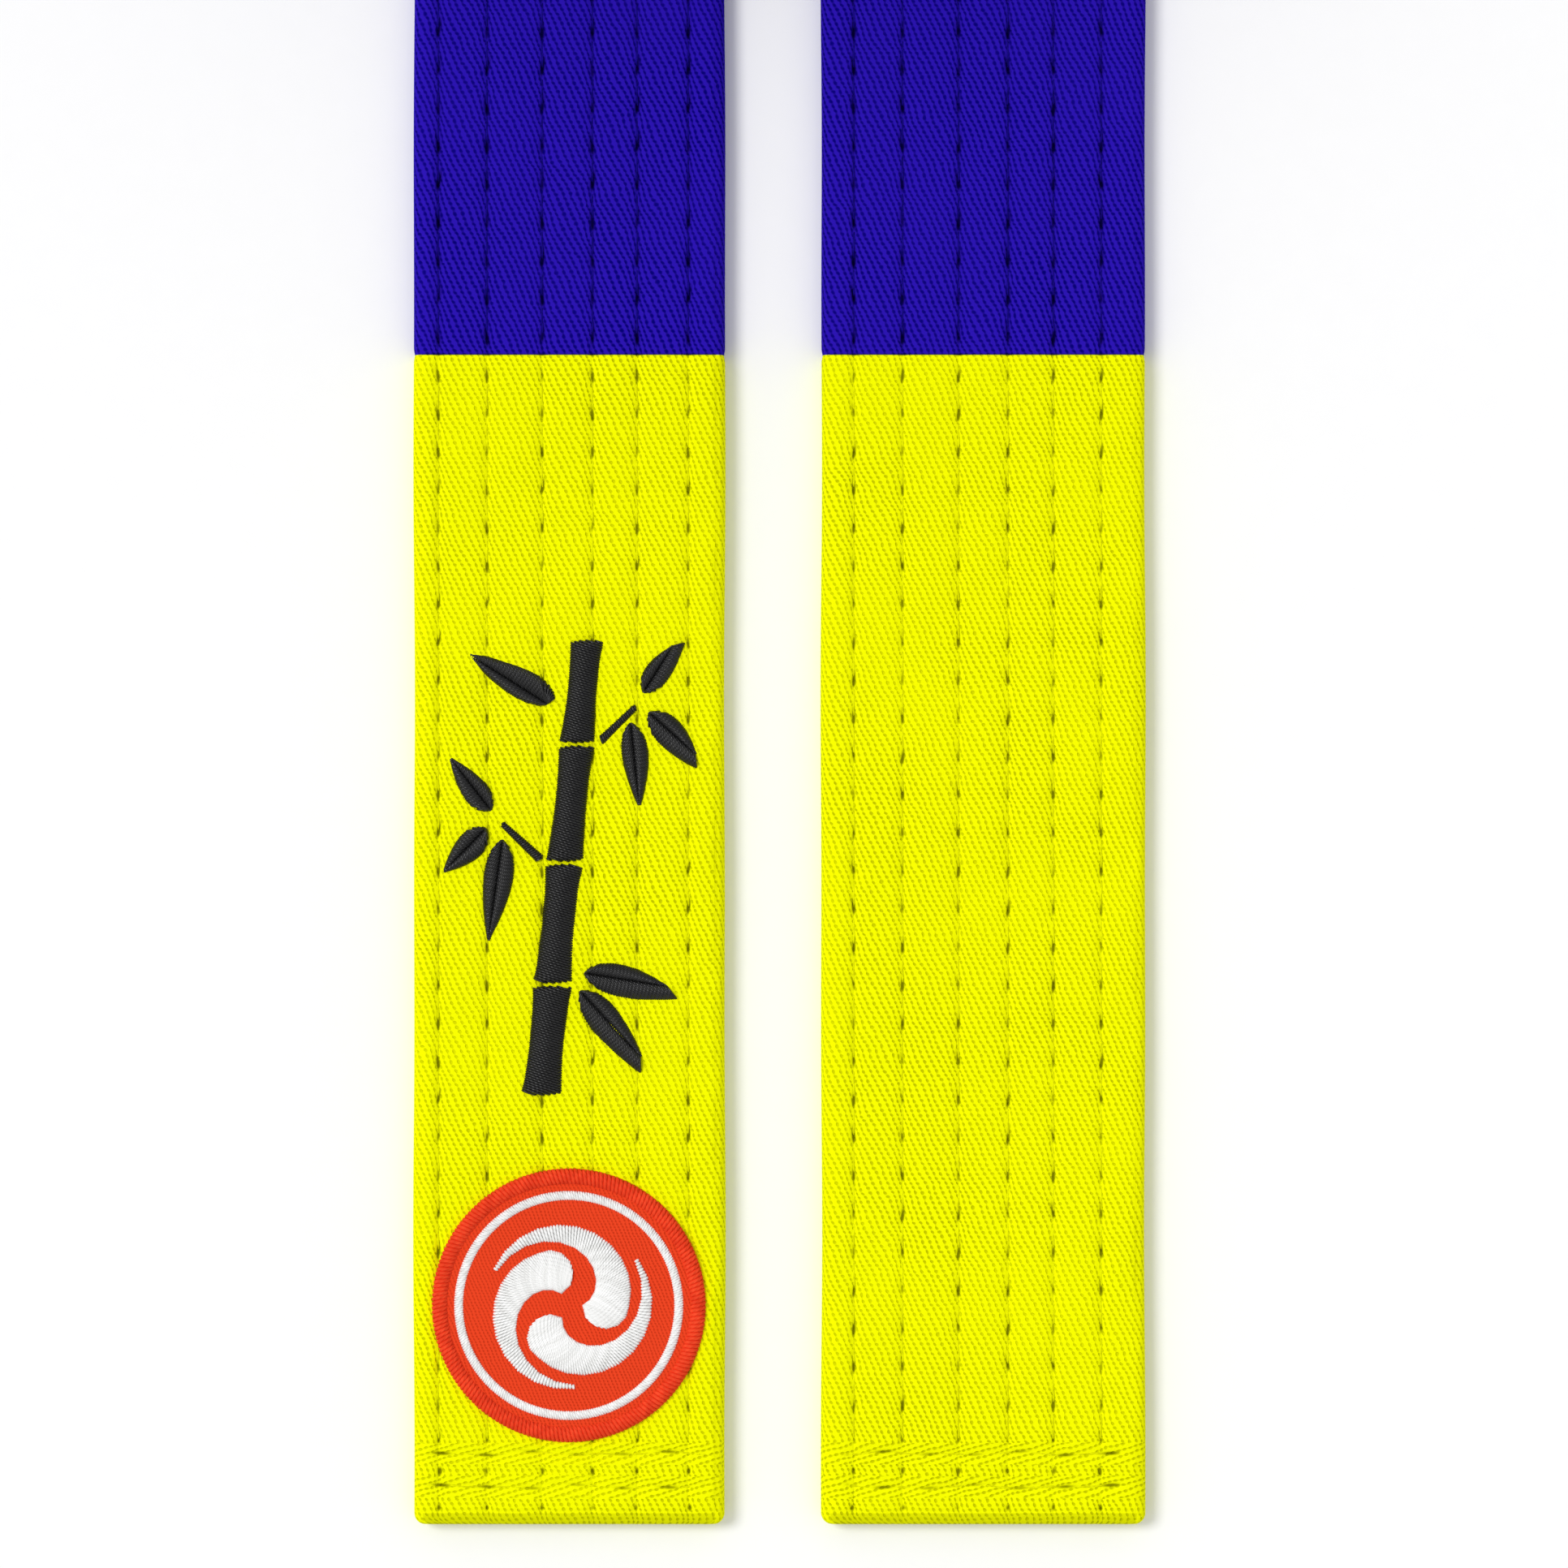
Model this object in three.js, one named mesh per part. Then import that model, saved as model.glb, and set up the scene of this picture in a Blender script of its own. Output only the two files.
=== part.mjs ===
// A quilted martial arts belt: twill cover over core plies, six sewn rows, two coloured ends.
// The two ends lie flat, side by side. The rest of the strap is put away behind them as a flat
// twin roll: both legs are wound together, starting from the middle of the belt.
//
// Millimetres. +Z is up, the ends point to -Y. The origin is under the middle of the outer box.
//
// Places on the strap are given as (along, across, out): "along" runs over the strap from the tip
// of end A (negative) to the tip of end B (positive), "across" from edge to edge, and "out" from
// the back of the strap (negative) to its front (positive).

import * as THREE from "three";
import { mergeVertices } from "three/addons/utils/BufferGeometryUtils.js";

// ---- The belt ----------------------------------------------------------------------------------

const BELT_LENGTH = 2800;
const BELT_WIDTH = 40;
const END_A_WIDTH = 38.4; // the embroidery draws this end in a little
const BELT_THICKNESS = 4;
const TIP_LENGTH = 144.3; // coloured end, from its seam to its tip
const LEG_SPACING = 51.1; // between the middles of the two ends

const COVER_THICKNESS = 0.5;
const COVER_EDGE = 1; // the folded side edge of the cover, across
const EDGE_ROUNDING = 0.9;
const TIP_HEM = 2.5; // cover folded in at the tip
const TIP_ROUNDING = 1.6;

const CORE_PLIES = ["back", "middle", "front"];
const PLY_GAP = 0.1;
const PLY_SIDE_GAP = 0.3;

const SEAM_GAP = 0.3; // between pieces that meet end to end

// ---- Sewing ------------------------------------------------------------------------------------

// Places of the six quilting rows across the strap. They wander a little from end to end.
const ROWS_AT_END_A = [-14.7, -8.4, -2.9, 3.3, 10.1, 16.1];
const ROWS_AT_END_B = [-16, -10, -3.1, 3, 8.6, 14.5];
const THREAD_WIDTH = 0.6;
const THREAD_HEIGHT = 0.2;
const THREAD_LIFT = 0.05; // above the cover
const THREAD_STOP_AT_SEAM = 2;
const THREAD_STOP_AT_TIP = 9.5;

const CLOSING_ROWS = { inner: 8.9, outer: 4.8 }; // from the tip
const CLOSING_ROW_MARGIN = 2.4; // from the side edges

// ---- The twin roll -----------------------------------------------------------------------------

const ROLL_TURNS = 4;
const ROLL_PITCH = 4.8; // from layer to layer
const LEAD_LENGTH = 60; // flat strap between a coloured end and the roll
const BEND_STEPS = 6;
const FOLD_STEPS = 6;

// ---- Decoration of end A -----------------------------------------------------------------------

const DECORATION_LIFT = 0.3; // clear of the quilting thread below it

const MOTIF_FROM_SEAM = 63;
const SATIN_HEIGHT = 0.6;
const STALK_JOINTS = [-28.4, -14.6, 0.4, 15, 28]; // heights of the bamboo's rings
const STALK_FOOT_X = -3.4;
const STALK_LEAN = 0.1;
const STALK_WIDTH = 5;
const STALK_TAPER = 0.018; // width lost per millimetre of height
const STALK_RING_GAP = 0.9;
const TWIG_WIDTH = 1;
const TWIGS = [
  { from: [3.9, 15.4], to: [8.2, 19.6] },
  { from: [-3.5, 0.8], to: [-8.2, 5.2] },
];
// Each leaf: where its stem is, the way it points in degrees, its length and its width.
const LEAVES = [
  { stem: [9.2, 21.4], points: 52, length: 8.4, width: 3.4 },
  { stem: [9.9, 18.9], points: -48, length: 9.6, width: 4 },
  { stem: [7.6, 17.6], points: -84, length: 10.4, width: 3.6 },
  { stem: [-9.6, 6.9], points: 128, length: 8.2, width: 3.6 },
  { stem: [-10.3, 4.6], points: 226, length: 7.4, width: 3.8 },
  { stem: [-8.2, 3.2], points: 262, length: 12.6, width: 4 },
  { stem: [1.9, -13.2], points: -14, length: 12.8, width: 4.4 },
  { stem: [1.4, -15.4], points: -52, length: 13.6, width: 4.4 },
  { stem: [-1.6, 20.4], points: 152, length: 12.4, width: 4.2 },
];

const PATCH_FROM_SEAM = 117.1;
const PATCH_RADIUS = 16.8;
const PATCH_BORDER_WIDTH = 1.6;
const PATCH_BORDER_HEIGHT = 0.9;
const PATCH_HEIGHT = 0.6;
const PATCH_RING_RADIUS = 13.6;
const PATCH_RING_WIDTH = 0.8;
const PATCH_STITCH_HEIGHT = 0.3;
const COMMA_COUNT = 3;
const COMMA_SWIRL_RADIUS = 10.4;
const ROUND_STEPS = 36;

// ---- Worked out --------------------------------------------------------------------------------

const HALF_LENGTH = BELT_LENGTH / 2;
const HALF_WIDTH = BELT_WIDTH / 2;
const HALF_THICKNESS = BELT_THICKNESS / 2;
const LEG_OFFSET = LEG_SPACING / 2;
const BEND_COUNT = 2 * ROLL_TURNS;
const FOLD_RADIUS = ROLL_PITCH / 2;
const FOLD_HALF_ARC = (Math.PI * FOLD_RADIUS) / 2;

const bendRadius = (bend) => ROLL_PITCH * (1 + bend / 2);
const bendLengths = Array.from({ length: BEND_COUNT }, (_, bend) => Math.PI * bendRadius(bend));
const ALL_BENDS = bendLengths.reduce((sum, length) => sum + length, 0);
const SEAM_TO_NEAR_BENDS = LEAD_LENGTH + ROLL_TURNS * ROLL_PITCH + HALF_THICKNESS;

// The middle of the belt crosses from leg to leg half way along the innermost run, so each leg
// holds BEND_COUNT whole runs and one half run.
const RUN_LENGTH =
  (HALF_LENGTH - LEG_OFFSET - ALL_BENDS - SEAM_TO_NEAR_BENDS - TIP_LENGTH) / (BEND_COUNT + 0.5);
const CROSSING_Y = RUN_LENGTH / 2;

const SEAM_AT = HALF_LENGTH - TIP_LENGTH;
const FIRST_BEND_AT = LEG_OFFSET + CROSSING_Y;
const LAST_RUN_AT = SEAM_AT - SEAM_TO_NEAR_BENDS - RUN_LENGTH;
const LAST_BEND_AT = LAST_RUN_AT - bendLengths[BEND_COUNT - 1];
const MIDDLE_COVER_END = FIRST_BEND_AT - 6;
const ROLL_COVER_END = SEAM_AT - SEAM_TO_NEAR_BENDS;

const FAR_Y = RUN_LENGTH + bendRadius(BEND_COUNT - 1) + HALF_THICKNESS;
const TIP_Y = -(SEAM_TO_NEAR_BENDS + TIP_LENGTH);
const ORIGIN_Y = (FAR_Y + TIP_Y) / 2;
const TABLE_Z = -ROLL_TURNS * ROLL_PITCH - HALF_THICKNESS;

// ---- Where the strap goes ----------------------------------------------------------------------

// The middle line of a leg in its own Y-Z plane, measured from where the first bend starts.
// Bends alternate between the near end (even, side -1) and the far end of the roll (odd, side 1).
function rollPoint(distance) {
  if (distance < 0) return { y: -distance, z: 0, alongY: -1, alongZ: 0 };
  let rest = distance;
  for (let bend = 0; ; bend++) {
    const side = bend % 2 === 0 ? -1 : 1;
    const radius = bendRadius(bend);
    const centreY = side < 0 ? 0 : RUN_LENGTH;
    const centreZ = side < 0 ? ROLL_PITCH : ROLL_PITCH / 2;
    const angle = rest / radius;
    if (angle <= Math.PI) {
      return {
        y: centreY + side * radius * Math.sin(angle),
        z: centreZ + side * radius * Math.cos(angle),
        alongY: side * Math.cos(angle),
        alongZ: -side * Math.sin(angle),
      };
    }
    rest -= Math.PI * radius;
    if (rest <= RUN_LENGTH || bend === BEND_COUNT - 1) {
      return { y: centreY - side * rest, z: centreZ - side * radius, alongY: -side, alongZ: 0 };
    }
    rest -= RUN_LENGTH;
  }
}

// A point of the strap in space. Leg A is leg B mirrored left to right. The middle of the belt
// lies one layer above the legs and goes down into each of them over a 45 degree fold.
function place(along, across, out) {
  const hand = along < 0 ? -1 : 1;
  const fromMiddle = Math.abs(along);
  const overFold = (fromMiddle - LEG_OFFSET - across) / Math.SQRT2;
  const byFold = (fromMiddle - LEG_OFFSET + across) / Math.SQRT2;
  let x = fromMiddle;
  let y = CROSSING_Y - across;
  let z = ROLL_PITCH - out;
  if (overFold > FOLD_HALF_ARC) {
    const point = rollPoint(fromMiddle - FIRST_BEND_AT);
    x = LEG_OFFSET + across;
    y = point.y + out * point.alongZ;
    z = point.z - out * point.alongY;
  } else if (overFold > -FOLD_HALF_ARC) {
    const angle = (overFold + FOLD_HALF_ARC) / FOLD_RADIUS;
    const reach = (FOLD_RADIUS - out) * Math.sin(angle) - FOLD_HALF_ARC;
    x = LEG_OFFSET + (byFold + reach) / Math.SQRT2;
    y = CROSSING_Y + (reach - byFold) / Math.SQRT2;
    z = FOLD_RADIUS + (FOLD_RADIUS - out) * Math.cos(angle);
  }
  return new THREE.Vector3(hand * x, y - ORIGIN_Y, z - TABLE_Z);
}

const onEndA = (along) => along < -LAST_BEND_AT + 0.001;
const halfWidthAt = (along) => (onEndA(along) ? END_A_WIDTH / 2 : HALF_WIDTH);

// Cross-sections of leg B from the middle outwards. Those on the diagonal fold are slanted: their
// place along the strap changes by one millimetre for each millimetre across.
function legStations() {
  const stations = [];
  for (let step = 0; step <= FOLD_STEPS; step++) {
    const overFold = FOLD_HALF_ARC * ((2 * step) / FOLD_STEPS - 1);
    stations.push({ along: LEG_OFFSET + Math.SQRT2 * overFold, slant: 1 });
  }
  let start = FIRST_BEND_AT;
  for (const length of bendLengths) {
    for (let step = 0; step <= BEND_STEPS; step++) {
      stations.push({ along: start + (length * step) / BEND_STEPS, slant: 0 });
    }
    start += length + RUN_LENGTH;
  }
  return stations;
}

const LEG_B_STATIONS = legStations();
const LEG_A_STATIONS = LEG_B_STATIONS.map(({ along, slant }) => ({ along: -along, slant: -slant }));
const ALL_STATIONS = [...LEG_A_STATIONS.reverse(), ...LEG_B_STATIONS];

// All cross-sections from one place to another, with straight-cut ones at both ends.
function stationsBetween(start, end) {
  const inside = ALL_STATIONS.filter(({ along }) => along > start + 0.01 && along < end - 0.01);
  return [{ along: start, slant: 0 }, ...inside, { along: end, slant: 0 }];
}

// ---- Solids swept along the strap --------------------------------------------------------------

// One cross-section outline placed in space, with its flat outline kept for closing the ends.
function ringAt(station, outline) {
  return {
    along: station.along,
    flat: outline.map(([across, out]) => new THREE.Vector2(across, out)),
    points: outline.map(([across, out]) =>
      place(station.along + station.slant * across, across, out)
    ),
  };
}

function addTriangle(positions, a, b, c, inward) {
  for (const point of inward ? [a, c, b] : [a, b, c]) positions.push(point.x, point.y, point.z);
}

function addWalls(positions, rings, inward) {
  for (let k = 0; k + 1 < rings.length; k++) {
    const here = rings[k].points;
    const next = rings[k + 1].points;
    here.forEach((corner, i) => {
      const j = (i + 1) % here.length;
      addTriangle(positions, corner, here[j], next[j], inward);
      addTriangle(positions, corner, next[j], next[i], inward);
    });
  }
}

function addEnd(positions, outer, hole, inward) {
  const corners = hole ? [...outer.points, ...hole.points] : outer.points;
  const faces = THREE.ShapeUtils.triangulateShape(outer.flat, hole ? [hole.flat] : []);
  for (const [a, b, c] of faces) {
    const turn = THREE.ShapeUtils.area([a, b, c].map((i) => [...outer.flat, ...(hole?.flat ?? [])][i]));
    addTriangle(positions, corners[a], corners[b], corners[c], inward !== turn < 0);
  }
}

function geometryFrom(positions) {
  const geometry = new THREE.BufferGeometry();
  geometry.setAttribute("position", new THREE.Float32BufferAttribute(positions, 3));
  return mergeVertices(geometry, 1e-5);
}

// A solid bar with the given outline at each station.
function barGeometry(stations, outlineAt) {
  const rings = stations.map((station) => ringAt(station, outlineAt(station.along)));
  const positions = [];
  addWalls(positions, rings, false);
  addEnd(positions, rings[0], null, true);
  addEnd(positions, rings.at(-1), null, false);
  return geometryFrom(positions);
}

// A sleeve: open wherever its hole reaches its end, and closed where the hole stops short.
function sleeveGeometry(outerRings, holeRings) {
  const positions = [];
  addWalls(positions, outerRings, false);
  addWalls(positions, holeRings, true);
  for (const [end, inward] of [[0, true], [-1, false]]) {
    const outer = outerRings.at(end);
    const hole = holeRings.at(end);
    if (outer.along === hole.along) {
      addEnd(positions, outer, hole, inward);
    } else {
      addEnd(positions, outer, null, inward);
      addEnd(positions, hole, null, !inward);
    }
  }
  return geometryFrom(positions);
}

// ---- Outlines of the cross-section -------------------------------------------------------------

function boxOutline(left, right, bottom, top) {
  return [[left, bottom], [right, bottom], [right, top], [left, top]];
}

function coverOutline(halfWidth, halfThickness) {
  const side = halfThickness - EDGE_ROUNDING;
  const flat = halfWidth - EDGE_ROUNDING;
  return [
    [-halfWidth, -side],
    [-flat, -halfThickness],
    [flat, -halfThickness],
    [halfWidth, -side],
    [halfWidth, side],
    [flat, halfThickness],
    [-flat, halfThickness],
    [-halfWidth, side],
  ];
}

function coverHoleOutline(halfWidth) {
  const half = halfWidth - COVER_EDGE;
  const height = HALF_THICKNESS - COVER_THICKNESS;
  return boxOutline(-half, half, -height, height);
}

function plyOutline(halfWidth, ply) {
  const half = halfWidth - COVER_EDGE - PLY_SIDE_GAP;
  const room = 2 * (HALF_THICKNESS - COVER_THICKNESS);
  const thickness = (room - PLY_GAP * (CORE_PLIES.length + 1)) / CORE_PLIES.length;
  const bottom = -room / 2 + PLY_GAP + ply * (thickness + PLY_GAP);
  return boxOutline(-half, half, bottom, bottom + thickness);
}

function rowAcross(row, along) {
  const share = THREE.MathUtils.clamp((along + LAST_RUN_AT) / (2 * LAST_RUN_AT), 0, 1);
  return THREE.MathUtils.lerp(ROWS_AT_END_A[row], ROWS_AT_END_B[row], share);
}

function threadOutline(across) {
  const base = HALF_THICKNESS + THREAD_LIFT;
  const half = THREAD_WIDTH / 2;
  return [[across - half, base], [across + half, base], [across, base + THREAD_HEIGHT]];
}

// ---- Materials ---------------------------------------------------------------------------------

const cloth = (color, roughness = 0.85) =>
  new THREE.MeshStandardMaterial({ color, roughness, metalness: 0 });

const BLUE_TWILL = cloth(0x210e9b);
const YELLOW_TWILL = cloth(0xedf303);
const BLUE_THREAD = cloth(0x1b0b86, 0.6);
const YELLOW_THREAD = cloth(0xe2e603, 0.6);
const CORE_CANVAS = cloth(0xe6e0cf, 0.95);
const BLACK_THREAD = cloth(0x171717, 0.45);
const RED_TWILL = cloth(0xe44120, 0.8);
const RED_THREAD = cloth(0xd93a1b, 0.5);
const WHITE_THREAD = cloth(0xfcfcfb, 0.5);

// ---- Pieces ------------------------------------------------------------------------------------

function piece(name, geometry, material) {
  const mesh = new THREE.Mesh(geometry, material);
  mesh.name = name;
  return mesh;
}

function coverPiece(name, start, end) {
  const stations = stationsBetween(start, end);
  const outer = stations.map((s) => ringAt(s, coverOutline(halfWidthAt(s.along), HALF_THICKNESS)));
  const hole = stations.map((s) => ringAt(s, coverHoleOutline(halfWidthAt(s.along))));
  return piece(name, sleeveGeometry(outer, hole), BLUE_TWILL);
}

// The blue cover: the crossing in the middle, the rolled legs and the flat leads to both seams.
function blueCovers() {
  const lead = [ROLL_COVER_END, SEAM_AT - SEAM_GAP / 2];
  const roll = [MIDDLE_COVER_END, ROLL_COVER_END - SEAM_GAP];
  const middle = MIDDLE_COVER_END - SEAM_GAP;
  return [
    coverPiece("cover_middle", -middle, middle),
    coverPiece("cover_roll_a", -roll[1], -roll[0]),
    coverPiece("cover_roll_b", roll[0], roll[1]),
    coverPiece("cover_lead_a", -lead[1], -lead[0]),
    coverPiece("cover_lead_b", lead[0], lead[1]),
  ];
}

function corePlies(suffix, start, end) {
  const stations = stationsBetween(start, end);
  return CORE_PLIES.map((name, ply) => {
    const outlineAt = (along) => plyOutline(halfWidthAt(along), ply);
    return piece(`core_${name}_ply${suffix}`, barGeometry(stations, outlineAt), CORE_CANVAS);
  });
}

function quiltingThreads(suffix, start, end, material) {
  const stations = stationsBetween(start, end);
  return ROWS_AT_END_A.map((_, row) => {
    const outlineAt = (along) => threadOutline(rowAcross(row, along));
    return piece(`quilt_thread_${row + 1}${suffix}`, barGeometry(stations, outlineAt), material);
  });
}

// A coloured end's cover: a pocket, open at the seam, with a folded and slightly rounded tip.
// Hand is -1 for end A and 1 for end B.
function endCover(name, hand) {
  const halfWidth = halfWidthAt(hand * HALF_LENGTH);
  const mouth = SEAM_AT + SEAM_GAP / 2;
  const shapes = [
    [mouth, 0, 0],
    [HALF_LENGTH - 1.8, 0, 0],
    [HALF_LENGTH - 0.5, TIP_ROUNDING * 0.35, 0.3],
    [HALF_LENGTH, TIP_ROUNDING, 0.9],
  ];
  const outer = shapes.map(([along, narrower, thinner]) =>
    ringAt(
      { along: hand * along, slant: 0 },
      coverOutline(halfWidth - narrower, HALF_THICKNESS - thinner)
    )
  );
  const hole = [mouth, HALF_LENGTH - TIP_HEM].map((along) =>
    ringAt({ along: hand * along, slant: 0 }, coverHoleOutline(halfWidth))
  );
  const inOrder = (rings) => (hand < 0 ? rings.reverse() : rings);
  return piece(name, sleeveGeometry(inOrder(outer), inOrder(hole)), YELLOW_TWILL);
}

// A row sewn across the tip to close the pocket.
function closingStitch(name, hand, fromTip) {
  const middle = hand * (HALF_LENGTH - fromTip);
  const half = THREAD_WIDTH / 2;
  const reach = halfWidthAt(middle) - CLOSING_ROW_MARGIN;
  const base = HALF_THICKNESS + THREAD_LIFT;
  const heights = [[middle - half, 0.02], [middle, THREAD_HEIGHT], [middle + half, 0.02]];
  const rings = heights.map(([along, height]) =>
    ringAt({ along, slant: 0 }, boxOutline(-reach, reach, base, base + height))
  );
  const positions = [];
  addWalls(positions, rings, false);
  addEnd(positions, rings[0], null, true);
  addEnd(positions, rings.at(-1), null, false);
  return piece(name, geometryFrom(positions), YELLOW_THREAD);
}

function colouredEnd(letter, hand) {
  const suffix = `_end_${letter}`;
  const reach = (nearSeam, nearTip) => {
    const places = [hand * (SEAM_AT + nearSeam), hand * (HALF_LENGTH - nearTip)];
    return places.sort((a, b) => a - b);
  };
  const threadReach = reach(THREAD_STOP_AT_SEAM, THREAD_STOP_AT_TIP);
  return [
    endCover(`cover${suffix}`, hand),
    ...corePlies(suffix, ...reach(SEAM_GAP / 2, TIP_HEM + PLY_SIDE_GAP)),
    ...quiltingThreads(suffix, ...threadReach, YELLOW_THREAD),
    ...Object.entries(CLOSING_ROWS).map(([row, fromTip]) =>
      closingStitch(`closing_stitch_${row}${suffix}`, hand, fromTip)
    ),
  ];
}

// ---- Bamboo embroidery -------------------------------------------------------------------------

const satin = (shape) =>
  new THREE.ExtrudeGeometry(shape, { depth: SATIN_HEIGHT, bevelEnabled: false, curveSegments: 8 });

// One length of bamboo between two rings, waisted, with softly rounded ends.
function stalkShape(bottom, top) {
  const middleAt = (y) => STALK_FOOT_X + STALK_LEAN * (y - STALK_JOINTS[0]);
  const halfAt = (y) => (STALK_WIDTH - STALK_TAPER * (y - STALK_JOINTS[0])) / 2;
  const low = bottom + STALK_RING_GAP / 2;
  const high = top - STALK_RING_GAP / 2;
  const waist = (low + high) / 2;
  const waistHalf = halfAt(waist) * 0.72;
  const bulge = 0.5;
  const shape = new THREE.Shape();
  shape.moveTo(middleAt(low) - halfAt(low), low);
  shape.quadraticCurveTo(middleAt(low), low - bulge, middleAt(low) + halfAt(low), low);
  shape.quadraticCurveTo(middleAt(waist) + waistHalf, waist, middleAt(high) + halfAt(high), high);
  shape.quadraticCurveTo(middleAt(high), high + bulge, middleAt(high) - halfAt(high), high);
  shape.quadraticCurveTo(middleAt(waist) - waistHalf, waist, middleAt(low) - halfAt(low), low);
  return shape;
}

function twigShape({ from, to }) {
  const along = new THREE.Vector2(to[0] - from[0], to[1] - from[1]).normalize();
  const side = new THREE.Vector2(-along.y, along.x).multiplyScalar(TWIG_WIDTH / 2);
  const shape = new THREE.Shape();
  shape.moveTo(from[0] + side.x, from[1] + side.y);
  shape.lineTo(from[0] - side.x, from[1] - side.y);
  shape.lineTo(to[0] - side.x * 0.6, to[1] - side.y * 0.6);
  shape.lineTo(to[0] + side.x * 0.6, to[1] + side.y * 0.6);
  return shape;
}

// A pointed leaf along +X from its stem, fuller on its upper side.
function leafShape({ length, width }) {
  const shape = new THREE.Shape();
  shape.moveTo(0, 0);
  shape.bezierCurveTo(length * 0.12, -width * 0.56, length * 0.5, -width * 0.5, length, 0);
  shape.bezierCurveTo(length * 0.5, width * 0.62, length * 0.12, width * 0.66, 0, 0);
  return shape;
}

function bambooEmbroidery() {
  const motif = new THREE.Group();
  for (let i = 0; i + 1 < STALK_JOINTS.length; i++) {
    const shape = stalkShape(STALK_JOINTS[i], STALK_JOINTS[i + 1]);
    motif.add(piece(`bamboo_stalk_${i + 1}`, satin(shape), BLACK_THREAD));
  }
  TWIGS.forEach((twig, i) => {
    motif.add(piece(`bamboo_twig_${i + 1}`, satin(twigShape(twig)), BLACK_THREAD));
  });
  LEAVES.forEach((leaf, i) => {
    const mesh = piece(`bamboo_leaf_${i + 1}`, satin(leafShape(leaf)), BLACK_THREAD);
    mesh.position.set(leaf.stem[0], leaf.stem[1], 0);
    mesh.rotation.z = THREE.MathUtils.degToRad(leaf.points);
    motif.add(mesh);
  });
  return motif;
}

// ---- Round patch -------------------------------------------------------------------------------

// A ring lathed about Z from a closed profile of [radius, height] corners.
function latheRing(corners) {
  const profile = [...corners, corners[0]].map(([radius, height]) => new THREE.Vector2(radius, height));
  const geometry = new THREE.LatheGeometry(profile, ROUND_STEPS);
  return geometry.rotateX(Math.PI / 2);
}

// One comma of the swirl: a round head near the middle with a tail that sweeps out to a point.
function commaShape() {
  const sweep = THREE.MathUtils.degToRad(168);
  const headRadius = 0.27 * COMMA_SWIRL_RADIUS;
  const headOut = 0.44 * COMMA_SWIRL_RADIUS;
  const steps = 12;
  const at = (share, side) => {
    const angle = share * sweep;
    const half = headRadius * Math.pow(1 - share, 1.15);
    const out = headOut + (0.97 * COMMA_SWIRL_RADIUS - headOut) * Math.sin((share * Math.PI) / 2);
    return new THREE.Vector2(Math.cos(angle), Math.sin(angle)).multiplyScalar(out + side * half);
  };
  const points = [];
  for (let step = 0; step <= steps; step++) points.push(at(step / steps, 1));
  for (let step = steps - 1; step >= 0; step--) points.push(at(step / steps, -1));
  for (let step = 1; step < 6; step++) {
    const angle = Math.PI + (step * Math.PI) / 6;
    points.push(
      new THREE.Vector2(headOut + headRadius * Math.cos(angle), headRadius * Math.sin(angle))
    );
  }
  return new THREE.Shape(points);
}

function roundPatch() {
  const patch = new THREE.Group();
  const groundRadius = PATCH_RADIUS - PATCH_BORDER_WIDTH - 0.1;
  const ground = new THREE.CylinderGeometry(groundRadius, groundRadius, PATCH_HEIGHT, ROUND_STEPS);
  ground.rotateX(Math.PI / 2).translate(0, 0, PATCH_HEIGHT / 2);
  patch.add(piece("patch_ground", ground, RED_TWILL));

  const inside = PATCH_RADIUS - PATCH_BORDER_WIDTH;
  const middle = PATCH_RADIUS - PATCH_BORDER_WIDTH / 2;
  const border = latheRing([
    [inside, 0],
    [PATCH_RADIUS, 0],
    [PATCH_RADIUS, PATCH_BORDER_HEIGHT * 0.6],
    [middle, PATCH_BORDER_HEIGHT],
    [inside, PATCH_BORDER_HEIGHT * 0.8],
  ]);
  patch.add(piece("patch_border", border, RED_THREAD));

  const onGround = PATCH_HEIGHT + THREAD_LIFT;
  const ringInside = PATCH_RING_RADIUS - PATCH_RING_WIDTH / 2;
  const ringOutside = PATCH_RING_RADIUS + PATCH_RING_WIDTH / 2;
  const ring = latheRing([
    [ringInside, onGround],
    [ringOutside, onGround],
    [PATCH_RING_RADIUS, onGround + PATCH_STITCH_HEIGHT],
  ]);
  patch.add(piece("patch_ring", ring, WHITE_THREAD));

  for (let i = 0; i < COMMA_COUNT; i++) {
    const comma = new THREE.ExtrudeGeometry(commaShape(), {
      depth: PATCH_STITCH_HEIGHT,
      bevelEnabled: false,
    });
    const mesh = piece(`patch_comma_${i + 1}`, comma, WHITE_THREAD);
    mesh.position.z = onGround;
    mesh.rotation.z = (i * 2 * Math.PI) / COMMA_COUNT;
    patch.add(mesh);
  }
  return patch;
}

// Stands a decoration on the front of end A, at a distance from the seam.
function onFrontOfEndA(decoration, fromSeam) {
  const middle = place(-(SEAM_AT + fromSeam), 0, HALF_THICKNESS + DECORATION_LIFT);
  decoration.position.copy(middle);
  return decoration;
}

// ---- The belt ----------------------------------------------------------------------------------

const threadEnd = SEAM_AT - THREAD_STOP_AT_SEAM;
const coreEnd = SEAM_AT - SEAM_GAP / 2;

const beltBody = new THREE.Group();
beltBody.add(
  ...blueCovers(),
  ...corePlies("", -coreEnd, coreEnd),
  ...quiltingThreads("", -threadEnd, threadEnd, BLUE_THREAD)
);

const endA = new THREE.Group();
endA.add(
  ...colouredEnd("a", -1),
  onFrontOfEndA(bambooEmbroidery(), MOTIF_FROM_SEAM),
  onFrontOfEndA(roundPatch(), PATCH_FROM_SEAM)
);

const endB = new THREE.Group();
endB.add(...colouredEnd("b", 1));

const belt = new THREE.Group();
belt.add(beltBody, endA, endB);

export default belt;
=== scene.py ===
import math

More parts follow.
